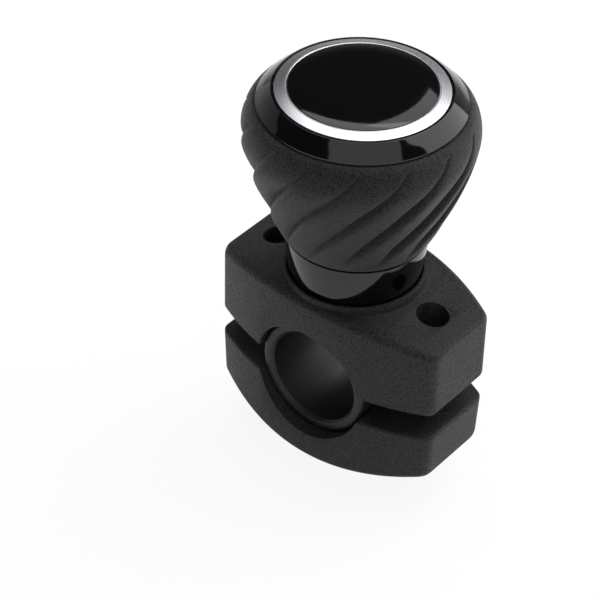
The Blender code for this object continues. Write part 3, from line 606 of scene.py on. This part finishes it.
def clamp_half(name, material, split_z, crown_z, crown_r, edge_r, end_draft=0.0):
    """Lofts a clamp half's sections along X and closes its ends."""
    up = 1 if crown_z > split_z else -1
    half = clamp_plan()
    stations = [(-x, d, e) for x, d, e in reversed(half[1:])] + half
    bm = bmesh.new()
    rings = []
    for x, half_depth, inset in stations:
        drop = crown_r - math.sqrt(crown_r ** 2 - x ** 2)
        section = clamp_section(x, half_depth, inset, split_z, crown_z - up * drop, edge_r)
        for point in section:
            point.x *= 1 - math.tan(end_draft) * abs(point.z - split_z) / CLAMP_HALF_LENGTH
        rings.append([bm.verts.new(point) for point in section])
    skin(bm, rings)
    return mesh_piece(name, bm, material)


def bore_cutter():
    """The clamp's bore for the liner, right through along Y."""
    reach = CLAMP_HALF_DEPTH * 1.5
    outline = [(0, -reach), (CLAMP_BORE_R, -reach), (CLAMP_BORE_R, reach), (0, reach)]
    return turned_along_y(turned_mesh(outline))


def screw_holes(profile):
    """The same turned hole on the axis of each clamp screw."""
    holes = []
    for x in SCREW_AXES.values():
        hole = turned_mesh(profile, SMALL_TURN)
        bmesh.ops.translate(hole, verts=hole.verts, vec=(x, 0, 0))
        holes.append(hole)
    return holes


def make_upper_clamp(abs_plastic):
    """Upper half with the neck's rimmed pocket, the bore, and the spindle's and screws' holes."""
    clamp = clamp_half("upper_clamp_shell", abs_plastic, upper_low.z, UPPER_CROWN_Z, UPPER_CROWN_R,
                       UPPER_EDGE_R)
    above = UPPER_CROWN_Z + CLAMP_CORNER_R
    rim_z = UPPER_CROWN_Z + POCKET_RIM_RISE
    rim = [(0, POCKET_FLOOR_Z), (POCKET_R + POCKET_RIM_FOOT, POCKET_FLOOR_Z),
           (POCKET_R + POCKET_RIM_FOOT, UPPER_CROWN_Z), (POCKET_R + POCKET_RIM_CREST, rim_z), (0, rim_z)]
    pocket = [(0, POCKET_FLOOR_Z), (POCKET_R, POCKET_FLOOR_Z), (POCKET_R, above), (0, above)]
    sink_r = SPINDLE_HEAD_R + SKIN_GAP
    sink_z = CLAMP_BORE_R + SPINDLE_SUNK + SPINDLE_HEAD_RIM + SEAT_GAP
    hole_r = SPINDLE_R + SHANK_PLAY
    spindle_hole = [(0, 0), (sink_r, 0), (sink_r, sink_z), (hole_r, sink_z + sink_r - hole_r),
                    (hole_r, above), (0, above)]
    head_r = SCREW_HEAD_R + SCREW_HOLE_PLAY
    shank_r = SCREW_SHANK_R + SHANK_PLAY
    screw_hole = [(0, -above), (shank_r, -above), (shank_r, SCREW_HEAD_SEAT_Z), (head_r, SCREW_HEAD_SEAT_Z),
                  (head_r, above), (0, above)]
    cutters = [bore_cutter(), turned_mesh(pocket), turned_mesh(spindle_hole, SMALL_TURN)]
    carve(clamp, cutters + screw_holes(screw_hole), CLAMP_CUT_EDGE, additions=[turned_mesh(rim)])
    stand_for(clamp, "base", "grained_abs", "upper_clamp")


def make_lower_clamp(abs_plastic):
    """Lower half with the bore and the blind holes of the inserts and the screws' tips."""
    clamp = clamp_half("lower_clamp_shell", abs_plastic, lower_high.z, lower_low.z, LOWER_CROWN_R,
                       LOWER_EDGE_R, LOWER_END_DRAFT)
    seat_r = INSERT_R + PRESS_GAP
    seat_z = lower_high.z - INSERT_LENGTH - 2 * PRESS_GAP
    tip_r = SCREW_SHANK_R + SHANK_PLAY
    tip_z = screw_low.z - BLIND_HOLE_SPARE
    hole = [(0, tip_z), (tip_r, tip_z), (tip_r, seat_z), (seat_r, seat_z), (seat_r, 0), (0, 0)]
    carve(clamp, [bore_cutter()] + screw_holes(hole), CLAMP_CUT_EDGE)
    stand_for(clamp, "jaw", "grained_abs", "lower_clamp")


def make_liner(rubber):
    """Rubber sleeve along the bore, with soft mouths and a slit along its top."""
    half = LINER_HALF
    mouth = RIM_BORE_R + LINER_LIP
    profile = rounded([
        (RIM_BORE_R, -half + LINER_LIP, LINER_BORE_EDGE), (mouth, -half, LINER_MOUTH_EDGE),
        (LINER_R, -half, LINER_FACE_EDGE), (LINER_R, half, LINER_FACE_EDGE),
        (mouth, half, LINER_MOUTH_EDGE), (RIM_BORE_R, half - LINER_LIP, LINER_BORE_EDGE)])
    liner = mesh_piece("rim_liner_sleeve", turned_along_y(turned_mesh(profile)), rubber)
    width, reach = LINER_SLIT / 2, 2 * half
    slit = prism_mesh([(-width, -reach), (width, -reach), (width, reach), (-width, reach)],
                      RIM_BORE_R / 2, LINER_R * 2)
    carve(liner, [slit])
    stand_for(liner, "base", "liner_rubber", "rim_liner")


def grip_outline():
    """Outer outline (r, z) of the grip from its foot, over the widest point, to its top."""
    foot = (GRIP_FOOT_R, grip_low.z)
    widest = (GRIP_WIDEST_R, GRIP_WIDEST_Z)
    top = (GRIP_TOP_R, grip_high.z)
    flank = (foot, (foot[0] + GRIP_FOOT_HANDLE[0], foot[1] + GRIP_FOOT_HANDLE[1]),
             (widest[0] - GRIP_FLANK_HANDLE[0], widest[1] - GRIP_FLANK_HANDLE[1]), widest)
    lean = GRIP_FLANK_HANDLE[0] / GRIP_FLANK_HANDLE[1]
    shoulder = (widest, (widest[0] + lean * GRIP_SHOULDER_RISE, widest[1] + GRIP_SHOULDER_RISE),
                (top[0] + GRIP_TOP_HANDLE[0], top[1] - GRIP_TOP_HANDLE[1]), top)
    points = [bezier(flank, i / GRIP_FLANK_STEPS) for i in range(GRIP_FLANK_STEPS)]
    return points + [bezier(shoulder, i / GRIP_SHOULDER_STEPS) for i in range(GRIP_SHOULDER_STEPS + 1)]


def inside_r(outline, height):
    """Inner radius of the grip at a height: its outer outline less the wall."""
    for (r0, z0), (r1, z1) in zip(outline, outline[1:]):
        if z0 <= height <= z1:
            return max(r0 + (r1 - r0) * (height - z0) / (z1 - z0) - GRIP_WALL, GRIP_SEAT_R)
    return max(outline[-1][0] - GRIP_WALL, GRIP_SEAT_R)


def inner_heights():
    """Heights at which the grip's inside and the core that fills it are drawn."""
    rise = grip_high.z - grip_low.z
    return [grip_low.z + rise * i / GRIP_INNER_STEPS for i in range(GRIP_INNER_STEPS + 1)]


def eased_rise(tree, value, start, end):
    """Smooth rise from 0 to 1 as a value goes from start to end."""
    return add_node(tree, "ShaderNodeMapRange", {
        "Value": value, "From Min": start, "From Max": end},
        interpolation_type="SMOOTHSTEP").outputs["Result"]


def shape_tree(name, start, counts, sizes):
    """A geometry tree with a mesh, counts, sizes and a material coming in, and those inputs."""
    tree = bpy.data.node_groups.new(name, "GeometryNodeTree")
    kinds = {start: "Geometry"}
    kinds.update({count: "Int" for count in counts})
    kinds.update({size: "Float" for size in sizes})
    kinds["Material"] = "Material"
    for label, kind in kinds.items():
        tree.interface.new_socket(label, in_out="INPUT", socket_type=f"NodeSocket{kind}")
    tree.interface.new_socket("Piece", in_out="OUTPUT", socket_type="NodeSocketGeometry")
    return tree, add_node(tree, "NodeGroupInput").outputs


def close_tree(tree, shape, material):
    """Makes a tree's copies real, gives them the material and sends them out."""
    real = add_node(tree, "GeometryNodeRealizeInstances", {"Geometry": shape})
    finished = add_node(tree, "GeometryNodeSetMaterial", {"Geometry": real.outputs[0], "Material": material})
    add_node(tree, "NodeGroupOutput", {0: finished.outputs[0]})
    return tree


def swirled_grip_tree():
    """Sweeps the outline that comes in round Z, and sinks the swirling grooves into it."""
    tree, given = shape_tree(
        "swirled grip", "Outline", ("Outline points", "Outer points", "Lobes", "Columns per lobe"),
        ("Twist", "Phase", "Tip height", "Tip run", "Foot height", "Foot run", "Groove depth",
         "Channel width", "Channel depth"))
    columns = float_math(tree, "MULTIPLY", given["Lobes"], given["Columns per lobe"])
    sheet = add_node(tree, "GeometryNodeMeshGrid", {
        "Size X": 1.0, "Size Y": 1.0, "Vertices X": float_math(tree, "ADD", columns, 1.0),
        "Vertices Y": float_math(tree, "ADD", given["Outline points"], 1.0)})
    place = add_node(tree, "GeometryNodeInputPosition").outputs[0]
    across = add_node(tree, "ShaderNodeSeparateXYZ", {0: place})
    share = float_math(tree, "ADD", across.outputs["X"], 0.5)
    row = float_math(tree, "MULTIPLY", float_math(tree, "ADD", across.outputs["Y"], 0.5),
                     given["Outline points"])
    row = float_math(tree, "ROUND", row)
    wrapped = float_math(tree, "MODULO", row, given["Outline points"])
    spot = add_node(tree, "GeometryNodeSampleIndex", {
        "Geometry": given["Outline"], "Value": place, "Index": wrapped},
        data_type="FLOAT_VECTOR", domain="POINT")
    spot = add_node(tree, "ShaderNodeSeparateXYZ", {0: spot.outputs[0]}).outputs
    radius, height = spot["X"], spot["Z"]

    # Share of the way across a lobe, and how far the groove's middle is, square to the groove
    count = float_math(tree, "MULTIPLY", share, given["Lobes"])
    lobe_share = float_math(tree, "FRACT", count)
    off_middle = float_math(tree, "FRACT", float_math(tree, "ADD", count, 0.5))
    off_middle = float_math(tree, "SUBTRACT", off_middle, 0.5)
    off_angle = float_math(tree, "DIVIDE", float_math(tree, "MULTIPLY", off_middle, TURN), given["Lobes"])
    lean = float_math(tree, "ARCTANGENT", float_math(tree, "MULTIPLY", radius, given["Twist"]))
    sideways = float_math(tree, "MULTIPLY", float_math(tree, "MULTIPLY", off_angle, radius),
                          float_math(tree, "COSINE", lean))
    over_tip = float_math(tree, "MAXIMUM", float_math(tree, "SUBTRACT", height, given["Tip height"]), 0.0)
    away = float_math(tree, "SQRT", float_math(
        tree, "ADD", float_math(tree, "POWER", sideways, 2.0), float_math(tree, "POWER", over_tip, 2.0)))
    channel = eased_rise(tree, away, float_math(tree, "MULTIPLY", given["Channel width"], 0.5), 0.0)

    scallop = add_node(tree, "ShaderNodeFloatCurve", {"Value": lobe_share})
    curve = scallop.mapping.curves[0]
    while len(curve.points) < len(LOBE_SECTION):
        curve.points.new(0.5, 0.5)
    for point, (x, y) in zip(curve.points, LOBE_SECTION):
        point.location = (x, y)
        point.handle_type = "AUTO"
    scallop.mapping.update()

    # The lobes swell below the groove's tip, and die out at the grip's foot and on its inside
    below_tip = float_math(tree, "SUBTRACT", given["Tip height"], height)
    swell = eased_rise(tree, below_tip, 0.0, given["Tip run"])
    above_foot = float_math(tree, "SUBTRACT", height, given["Foot height"])
    die = eased_rise(tree, above_foot, 0.0, given["Foot run"])
    outside = float_math(tree, "LESS_THAN", wrapped, given["Outer points"])
    swelling = float_math(tree, "MULTIPLY", float_math(tree, "MULTIPLY", swell, given["Groove depth"]),
                          scallop.outputs["Value"])
    cut = float_math(tree, "ADD", swelling, float_math(tree, "MULTIPLY", channel, given["Channel depth"]))
    cut = float_math(tree, "MULTIPLY", float_math(tree, "MULTIPLY", cut, die), outside)
    radius = float_math(tree, "SUBTRACT", radius, cut)

    turn = float_math(tree, "MULTIPLY", share, TURN)
    from_tip = float_math(tree, "SUBTRACT", height, given["Tip height"])
    swirl = float_math(tree, "MULTIPLY", from_tip, given["Twist"])
    angle = float_math(tree, "ADD", float_math(tree, "ADD", turn, swirl), given["Phase"])
    spun = add_node(tree, "ShaderNodeCombineXYZ", {
        "X": float_math(tree, "MULTIPLY", radius, float_math(tree, "COSINE", angle)),
        "Y": float_math(tree, "MULTIPLY", radius, float_math(tree, "SINE", angle)), "Z": height})
    swept = add_node(tree, "GeometryNodeSetPosition", {
        "Geometry": sheet.outputs["Mesh"], "Position": spun.outputs["Vector"]})
    joined = add_node(tree, "GeometryNodeMergeByDistance", {
        "Geometry": swept.outputs[0], "Distance": GRIP_WELD})
    smooth = add_node(tree, "GeometryNodeSetShadeSmooth", {"Geometry": joined.outputs[0]})
    return close_tree(tree, smooth.outputs[0], given["Material"])


def grow(name, tree, base, values):
    """Runs a tree on a base mesh with its named inputs set, and keeps the mesh that it makes."""
    piece = bpy.data.objects.new(name, base)
    bpy.context.scene.collection.objects.link(piece)
    modifier = piece.modifiers.new(tree.name, "NODES")
    modifier.node_group = tree
    for item in tree.interface.items_tree:
        if item.item_type == "SOCKET" and item.in_out == "INPUT" and item.name in values:
            modifier[item.identifier] = values[item.name]
    return settle(piece)


def face_outwards(piece):
    """Turns a closed piece's faces outwards."""
    bm = bmesh.new()
    bm.from_mesh(piece.data)
    bmesh.ops.recalc_face_normals(bm, faces=bm.faces)
    bm.to_mesh(piece.data)
    bm.free()


def make_grip(rubber):
    """The swirled grip, from its foot's rounded edge over its outline and down its inside."""
    outline = grip_outline()
    foot_r, foot_z = outline[0]
    outer = [(r, z) for r, z in outline if z > foot_z + GRIP_FOOT_EDGE]
    outer = rounded([(foot_r - GRIP_FOOT_EDGE * 3, foot_z, 0), (foot_r, foot_z, GRIP_FOOT_EDGE),
                     (outer[0][0], outer[0][1], 0)], 6)[1:-1] + outer
    inner = [(inside_r(outline, z), z) for z in reversed(inner_heights())]
    loop = outer + inner
    base = bpy.data.meshes.new("grip outline")
    base.from_pydata([(r, 0, z) for r, z in loop],
                     [(i, (i + 1) % len(loop)) for i in range(len(loop))], [])
    grip = grow("swirled_grip", swirled_grip_tree(), base, {
        "Outline points": len(loop), "Outer points": len(outer), "Lobes": GROOVE_COUNT,
        "Columns per lobe": COLUMNS_PER_LOBE, "Twist": GROOVE_TWIST, "Phase": GROOVE_PHASE,
        "Tip height": grip_high.z - GROOVE_TIP_DROP, "Tip run": GROOVE_TIP_RUN,
        "Foot height": grip_low.z, "Foot run": GROOVE_FOOT_RUN, "Groove depth": GROOVE_DEPTH,
        "Channel width": CHANNEL_WIDTH, "Channel depth": CHANNEL_DEPTH, "Material": rubber})
    face_outwards(grip)
    grip.data.set_sharp_from_angle(angle=GRIP_SHARP_ANGLE)
    stand_for(grip, "knob", "grip_rubber", "grip_sleeve")


def ball_set_tree():
    """Sets equal balls round a pitch circle at a height."""
    tree, given = shape_tree("ball set", "Start", ("Balls",), ("Pitch radius", "Ball radius", "Height"))
    circle = add_node(tree, "GeometryNodeMeshCircle", {
        "Vertices": given["Balls"], "Radius": given["Pitch radius"]})
    rise = add_node(tree, "ShaderNodeCombineXYZ", {"Z": given["Height"]})
    raised = add_node(tree, "GeometryNodeTransform", {
        "Geometry": circle.outputs[0], "Translation": rise.outputs[0]})
    ball = add_node(tree, "GeometryNodeMeshIcoSphere", {
        "Radius": given["Ball radius"], "Subdivisions": BALL_SUBDIVISIONS})
    smooth = add_node(tree, "GeometryNodeSetShadeSmooth", {"Geometry": ball.outputs["Mesh"]})
    copies = add_node(tree, "GeometryNodeInstanceOnPoints", {
        "Points": raised.outputs[0], "Instance": smooth.outputs[0]})
    return close_tree(tree, copies.outputs[0], given["Material"])


def make_bearing(level, tree, steel):
    """Both races of a ball bearing, with round grooves, and its balls."""
    low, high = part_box(f"{level}_outer_race")
    ball_low, ball_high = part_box(f"{level}_ball_1")
    pitch_r = (ball_low.x + ball_high.x) / 2
    ball_r = (ball_high.y - ball_low.y) / 2
    middle_z = (low.z + high.z) / 2
    groove_r = ball_r + BALL_GAP
    reach = math.degrees(math.acos(RACE_LAND / groove_r))
    for name, body, side_r, outward, facing in (
            ("outer_race", "knob", high.x, 1, 0),
            ("inner_race", "base", SPINDLE_R + PRESS_GAP, -1, 180)):
        land_r = pitch_r + outward * RACE_LAND
        edge_r = side_r - outward * RACE_CHAMFER
        groove = arc((pitch_r, middle_z), groove_r, facing - outward * reach, facing + outward * reach,
                     RACE_GROOVE_STEPS)
        profile = groove + [
            (land_r, high.z), (edge_r, high.z), (side_r, high.z - RACE_CHAMFER),
            (side_r, low.z + RACE_CHAMFER), (edge_r, low.z), (land_r, low.z)]
        race = mesh_piece(f"{level}_{name}_ground", turned_mesh(profile), steel)
        stand_for(race, body, "bearing_steel", f"{level}_{name}")
    balls = grow(f"{level}_ball_set", tree, bpy.data.meshes.new("ball set"), {
        "Balls": BALL_COUNT, "Pitch radius": pitch_r, "Ball radius": ball_r, "Height": middle_z,
        "Material": steel})
    stand_for(balls, f"{level}_bearing_cage", "bearing_steel",
              *[f"{level}_ball_{number + 1}" for number in range(BALL_COUNT)])


def make_core(gloss):
    """Core moulding: the glossy neck that shows, and the bearing seats and ribs inside."""
    outline = grip_outline()
    seat_r = BEARING_R + PRESS_GAP
    lower_seat_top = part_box("lower_outer_race")[1].z + SEAT_GAP
    upper_seat_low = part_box("upper_outer_race")[0].z - SEAT_GAP
    hub_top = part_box("spindle_lock_nut")[1].z
    neck_top_z = grip_low.z - GRIP_FOOT_GAP
    bell = [(inside_r(outline, z) - SKIN_GAP, z) for z in inner_heights()]
    bell[0] = (GRIP_SEAT_R - SKIN_GAP, grip_low.z)
    bell[-1] = (bell[-1][0], core_high.z)
    rim_r = bell[-1][0] - CORE_WALL
    corners = [(seat_r, core_low.z, 0), (NECK_R, core_low.z, NECK_EDGE),
               (NECK_TOP_R, neck_top_z, NECK_TOP_EDGE), (bell[0][0], neck_top_z, 0)]
    corners += [(r, z, 0) for r, z in bell]
    corners += [(rim_r, core_high.z, 0), (rim_r, hub_top, 0), (seat_r, hub_top, 0),
                (seat_r, upper_seat_low, 0), (SHOULDER_BORE_R, upper_seat_low, 0),
                (SHOULDER_BORE_R, lower_seat_top, 0), (seat_r, lower_seat_top, 0)]
    core = mesh_piece("core_moulding", turned_mesh(rounded(corners)), gloss)
    hub_r = seat_r + HUB_WALL
    heights = [z for z in inner_heights() if CORE_POCKET_FLOOR_Z < z < hub_top]
    heights = [CORE_POCKET_FLOOR_Z] + heights + [hub_top]
    wall = [(inside_r(outline, z) - SKIN_GAP - CORE_WALL, z) for z in heights]
    above = hub_top + CORE_RIB_THICKNESS
    section = [(hub_r, above), (hub_r, CORE_POCKET_FLOOR_Z)] + wall + [(rim_r - PRESS_GAP, above)]
    pitch = TURN / CORE_RIB_COUNT
    cutters = []
    for number in range(CORE_RIB_COUNT):
        bm = bmesh.new()
        rings = []
        for step in range(CORE_POCKET_STEPS + 1):
            ring = []
            for r, z in section:
                rib = CORE_RIB_THICKNESS / 2 / r
                angle = pitch * number + rib + (pitch - 2 * rib) * step / CORE_POCKET_STEPS
                ring.append(bm.verts.new((r * math.cos(angle), r * math.sin(angle), z)))
            rings.append(ring)
        skin(bm, rings)
        cutters.append(bm)
    carve(core, cutters)
    stand_for(core, "knob", "gloss_abs", "knob_core")


def make_bezel(gloss):
    """Glossy cone round the trim ring, over the grip's top edge, with a rounded inner lip."""
    edge_z = BEZEL_Z + BEZEL_EDGE
    seat_r = RING_R + BEZEL_GAP
    shelf_z = ring_low.z - SEAT_GAP
    lip = (seat_r + BEZEL_LIP, bezel_high.z - BEZEL_LIP_FALL)
    middle = ((BEZEL_R + lip[0]) / 2 + BEZEL_BULGE, (edge_z + lip[1]) / 2 + BEZEL_BULGE)
    cone = ((BEZEL_R, edge_z), middle, middle, lip)
    face = [bezier(cone, i / BEZEL_FACE_STEPS) for i in range(BEZEL_FACE_STEPS)]
    face += rounded([(*face[-1], 0), (*lip, BEZEL_LIP_EDGE), (seat_r, bezel_high.z, BEZEL_INNER_EDGE),
                     (seat_r, shelf_z, 0)], 4)[1:-1]
    under_z = shelf_z - BEZEL_SHELF_THICKNESS
    skirt_r = inside_r(grip_outline(), grip_high.z) - SKIN_GAP - CORE_WALL - 2 * PRESS_GAP
    skirt_in = skirt_r - BEZEL_SKIRT_WALL
    skirt_z = bezel_low.z
    inner_r = cap_high.x - CAP_LEDGE + PRESS_GAP
    foot = [(BEZEL_R - BEZEL_FOOT_EDGE, BEZEL_Z), (BEZEL_R, BEZEL_Z + BEZEL_FOOT_EDGE)]
    profile = foot + face + [
        (seat_r, shelf_z), (inner_r, shelf_z), (inner_r, under_z), (skirt_in, under_z),
        (skirt_in, skirt_z), (skirt_r, skirt_z), (skirt_r, BEZEL_Z)]
    bezel = mesh_piece("bezel_ring", turned_mesh(profile), gloss)
    stand_for(bezel, "knob", "gloss_abs", "bezel")


def make_trim_ring(aluminium):
    """Ring that slopes down outwards, with a fine groove behind its inner lip."""
    inner = RING_R - RING_WIDTH
    lip_r = inner + RING_LIP
    groove_r = lip_r + RING_GROOVE / 2
    shore_z = ring_high.z - RING_LIP_FALL
    corners = [
        (inner, ring_low.z, 0), (RING_R, ring_low.z, 0),
        (RING_R, ring_high.z - RING_SLOPE_RISE, RING_OUTER_EDGE), (lip_r + RING_GROOVE, shore_z, 0),
        (groove_r, ring_high.z - RING_GROOVE, 0), (lip_r, shore_z, 0),
        (inner + RING_LIP / 2, ring_high.z, RING_LIP_EDGE),
        (inner, ring_high.z - RING_INNER_FALL, RING_INNER_EDGE)]
    ring = mesh_piece("trim_ring_turned", turned_mesh(rounded(corners, 4)), aluminium)
    stand_for(ring, "knob", "brushed_aluminium", "trim_ring")


def make_dome_cap(gloss):
    """Blank domed cap with a rounded shoulder and a snap skirt under it."""
    cap_r = RING_R - RING_WIDTH - CAP_GAP
    edge_z = ring_high.z - CAP_EDGE
    rise = cap_high.z - edge_z - CAP_EDGE
    dome = []
    for i in range(DOME_STEPS + 1):
        share = math.sin(math.pi / 2 * i / DOME_STEPS)
        dome.append(((cap_r - CAP_EDGE) * share, cap_high.z - rise * share ** DOME_FULLNESS))
    seat_z = ring_low.z
    skirt_r = cap_r - CAP_LEDGE
    skirt_in = skirt_r - CAP_SKIRT_WALL
    inner_top = seat_z + CAP_WALL / 2
    profile = dome + [(cap_r, edge_z), (cap_r, seat_z), (skirt_r, seat_z), (skirt_r, cap_low.z),
                      (skirt_in, cap_low.z), (skirt_in, inner_top), (0, inner_top)]
    cap = mesh_piece("dome_cap_moulding", turned_mesh(profile), gloss)
    stand_for(cap, "knob", "gloss_abs", "dome_cap")


def make_clamp_screw(side, x, steel):
    """Socket head screw with a knurled head."""
    low, high = screw_low.z, screw_high.z
    seat = high - SCREW_HEAD_HEIGHT
    profile = rounded([
        (0, low, 0), (SCREW_SHANK_R, low, SCREW_EDGE), (SCREW_SHANK_R, seat, 0),
        (SCREW_HEAD_R, seat, SCREW_SEAT_EDGE), (SCREW_HEAD_R, high, SCREW_EDGE), (0, high, 0)], 4)
    bm = turned_mesh(profile, KNURL_COUNT * 4)
    for vert in bm.verts:
        if vert.co.xy.length > SCREW_HEAD_R - KNURL_TOLERANCE:
            ridge = math.cos(KNURL_COUNT * math.atan2(vert.co.y, vert.co.x))
            vert.co.xy *= 1 - KNURL_DEPTH / SCREW_HEAD_R * (1 - ridge) / 2
    bmesh.ops.translate(bm, verts=bm.verts, vec=(x, 0, 0))
    screw = mesh_piece(f"socket_screw_{side}", bm, steel)
    socket = prism_mesh(hexagon(SCREW_SOCKET_FLATS), high - SCREW_SOCKET_DEPTH, high * 2, (x, 0, 0))
    carve(screw, [socket])
    stand_for(screw, f"{side}_screw", "black_steel", f"clamp_screw_{side}")


def dress_solids(finishes):
    """Gives every solid of the frame the finish of its slot, which shows where no piece replaces it."""
    slots = {row["node"]: row["material_slot"] for row in frame["record"]["subparts"]}
    for name, node in frame["nodes"].items():
        node.data.materials.clear()
        node.data.materials.append(finishes[slots[name]])


def make_camera():
    """The photograph's camera, from its azimuth, elevation, roll and the pixel of the neck's foot."""
    a, e, roll = CAMERA_AZIMUTH, CAMERA_ELEVATION, CAMERA_ROLL
    ahead = Vector((-math.sin(a) * math.cos(e), math.cos(a) * math.cos(e), -math.sin(e)))
    level = Vector((math.cos(a), math.sin(a), 0))
    rise = level.cross(ahead)
    right = math.cos(roll) * level + math.sin(roll) * rise
    up = math.cos(roll) * rise - math.sin(roll) * level
    aside = CAMERA_DISTANCE * (NECK_FOOT_PIXEL[0] - PHOTO_SIZE / 2) / CAMERA_FOCAL_PX
    below = CAMERA_DISTANCE * (NECK_FOOT_PIXEL[1] - PHOTO_SIZE / 2) / CAMERA_FOCAL_PX
    crown = Vector((0, 0, UPPER_CROWN_Z))
    turned = Matrix((right, up, -ahead)).transposed().to_4x4()
    turned.translation = crown - aside * right + below * up - CAMERA_DISTANCE * ahead
    data = bpy.data.cameras.new("photo camera")
    data.sensor_width = SENSOR_MM
    data.lens = SENSOR_MM * CAMERA_FOCAL_PX / PHOTO_SIZE
    data.clip_start = 50 * MM
    camera = bpy.data.objects.new("photo camera", data)
    camera.matrix_world = turned
    bpy.context.scene.collection.objects.link(camera)
    bpy.context.scene.camera = camera


def make_softbox(name, azimuth, elevation, spread, radiance):
    """Area lamp a metre from the neck's foot that covers a spread of (azimuth, elevation) degrees.

    Azimuth is from the camera's, positive to its right.
    """
    a, e = CAMERA_AZIMUTH + math.radians(azimuth), math.radians(elevation)
    away = Vector((math.sin(a) * math.cos(e), -math.cos(a) * math.cos(e), math.sin(e)))
    data = bpy.data.lights.new(name, "AREA")
    data.shape = "RECTANGLE"
    data.size, data.size_y = (2 * math.tan(math.radians(angle) / 2) for angle in spread)
    data.energy = radiance * math.pi * data.size * data.size_y
    lamp = bpy.data.objects.new(name, data)
    lamp.location = Vector((0, 0, UPPER_CROWN_Z)) + away
    lamp.rotation_euler = away.to_track_quat("Z", "Y").to_euler()
    bpy.context.scene.collection.objects.link(lamp)


def seen_share(tree, camera_share, mirror_share):
    """One share for camera rays, another for mirrored ones, and 0 for the rest."""
    ray = add_node(tree, "ShaderNodeLightPath").outputs
    mirrored = float_math(tree, "MULTIPLY", ray["Is Glossy Ray"], mirror_share)
    return float_math(tree, "MULTIPLY_ADD", ray["Is Camera Ray"], camera_share, mirrored)


def make_floor():
    """White floor just under the fully lowered jaw, with a share that takes light and shadow."""
    bm = bmesh.new()
    bmesh.ops.create_grid(bm, x_segments=1, y_segments=1, size=FLOOR_HALF)
    bmesh.ops.translate(bm, verts=bm.verts, vec=(0, 0, cad_box[0][2] - JAW_TRAVEL - SEAT_GAP))
    made = bpy.data.materials.new("white studio floor")
    made.use_nodes = True
    tree = made.node_tree
    tree.nodes.clear()
    matte = add_node(tree, "ShaderNodeBsdfDiffuse", {"Color": linear("f7f7f7")})
    white = add_node(tree, "ShaderNodeEmission", {"Color": linear("ffffff"), "Strength": 1.0})
    mixed = add_node(tree, "ShaderNodeMixShader", {
        0: seen_share(tree, FLOOR_WHITENESS, MIRRORED_FLOOR_WHITENESS),
        1: matte.outputs[0], 2: white.outputs[0]})
    add_node(tree, "ShaderNodeOutputMaterial", {"Surface": mixed.outputs[0]})
    floor = mesh_piece("studio_floor", bm, made)


def make_world():
    """White to the camera. Everything else sees a dim room that is paler at its horizon and below."""
    world = bpy.data.worlds.new("studio")
    bpy.context.scene.world = world
    world.use_nodes = True
    tree = world.node_tree
    tree.nodes.clear()
    way = add_node(tree, "ShaderNodeTexCoord").outputs["Generated"]
    height = add_node(tree, "ShaderNodeSeparateXYZ", {0: way}).outputs["Z"]
    glow = add_node(tree, "ShaderNodeMapRange", {
        "Value": height, "From Min": 0.0, "From Max": 0.45, "To Min": 0.35, "To Max": 0.04},
        interpolation_type="SMOOTHSTEP")
    room = add_node(tree, "ShaderNodeBackground", {
        "Color": linear("ffffff"), "Strength": glow.outputs["Result"]})
    white = add_node(tree, "ShaderNodeBackground", {"Color": linear("ffffff"), "Strength": 1.0})
    ray = add_node(tree, "ShaderNodeLightPath")
    mixed = add_node(tree, "ShaderNodeMixShader", {
        0: ray.outputs["Is Camera Ray"], 1: room.outputs[0], 2: white.outputs[0]})
    add_node(tree, "ShaderNodeOutputWorld", {"Surface": mixed.outputs[0]})


def make_studio():
    """Bright softboxes at the right, above and behind, a dimmer one in front, a weak one at the left."""
    bpy.context.scene.view_settings.view_transform = "Standard"
    make_world()
    make_floor()
    make_softbox("right softbox", azimuth=108, elevation=31, spread=(50, 70), radiance=2.1)
    make_softbox("front softbox", azimuth=6, elevation=44, spread=(56, 76), radiance=0.95)
    make_softbox("top softbox", azimuth=165, elevation=77, spread=(60, 46), radiance=2.2)
    make_softbox("back softbox", azimuth=145, elevation=49, spread=(34, 24), radiance=1.5)
    make_softbox("left softbox", azimuth=-125, elevation=16, spread=(50, 32), radiance=0.3)


def build():
    """Makes the finishes, the camera, the studio and every piece."""
    abs_plastic = grained_abs()
    rubber = grip_rubber()
    gloss = gloss_abs()
    liner = liner_rubber()
    ring_metal = turned_metal("spun anodised aluminium", "cbccd0", roughness=0.3,
                              line_pitch=0.12 * MM, line_depth=0.002 * MM, stretch=0.5)
    black_steel = plated_metal("black oxide steel", "1c1c1d", "262627", 0.42)
    finishes = {
        "grained_abs": abs_plastic, "gloss_abs": gloss, "grip_rubber": rubber, "liner_rubber": liner,
        "brushed_aluminium": ring_metal, "black_steel": black_steel,
        "bearing_steel": turned_metal("ground bearing steel", "c4c6ca", 0.16, 0.2 * MM, 0.001 * MM),
        "zinc_steel": plated_metal("zinc-plated steel", "a4a6a8", "b6b7b8", 0.34),
        # b5a786 is painted shade for the nylon grain's hollows, bfb190 the nylon's own colour on the crests.
        "cage_nylon": moulded("natural nylon", "b5a786", "bfb190", roughness=0.45,
                              grain_size=0.8 * MM, grain_height=0.01 * MM),
        "brass": turned_metal("turned brass", "c9a451", 0.3, 0.15 * MM, 0.002 * MM)}
    dress_solids(finishes)
    make_camera()
    make_studio()
    make_upper_clamp(abs_plastic)
    make_lower_clamp(abs_plastic)
    make_liner(liner)
    for side, x in SCREW_AXES.items():
        make_clamp_screw(side, x, black_steel)
    ball_set = ball_set_tree()
    for level in ("lower", "upper"):
        make_bearing(level, ball_set, finishes["bearing_steel"])
    make_core(gloss)
    make_grip(rubber)
    make_bezel(gloss)
    make_trim_ring(ring_metal)
    make_dome_cap(gloss)


build()
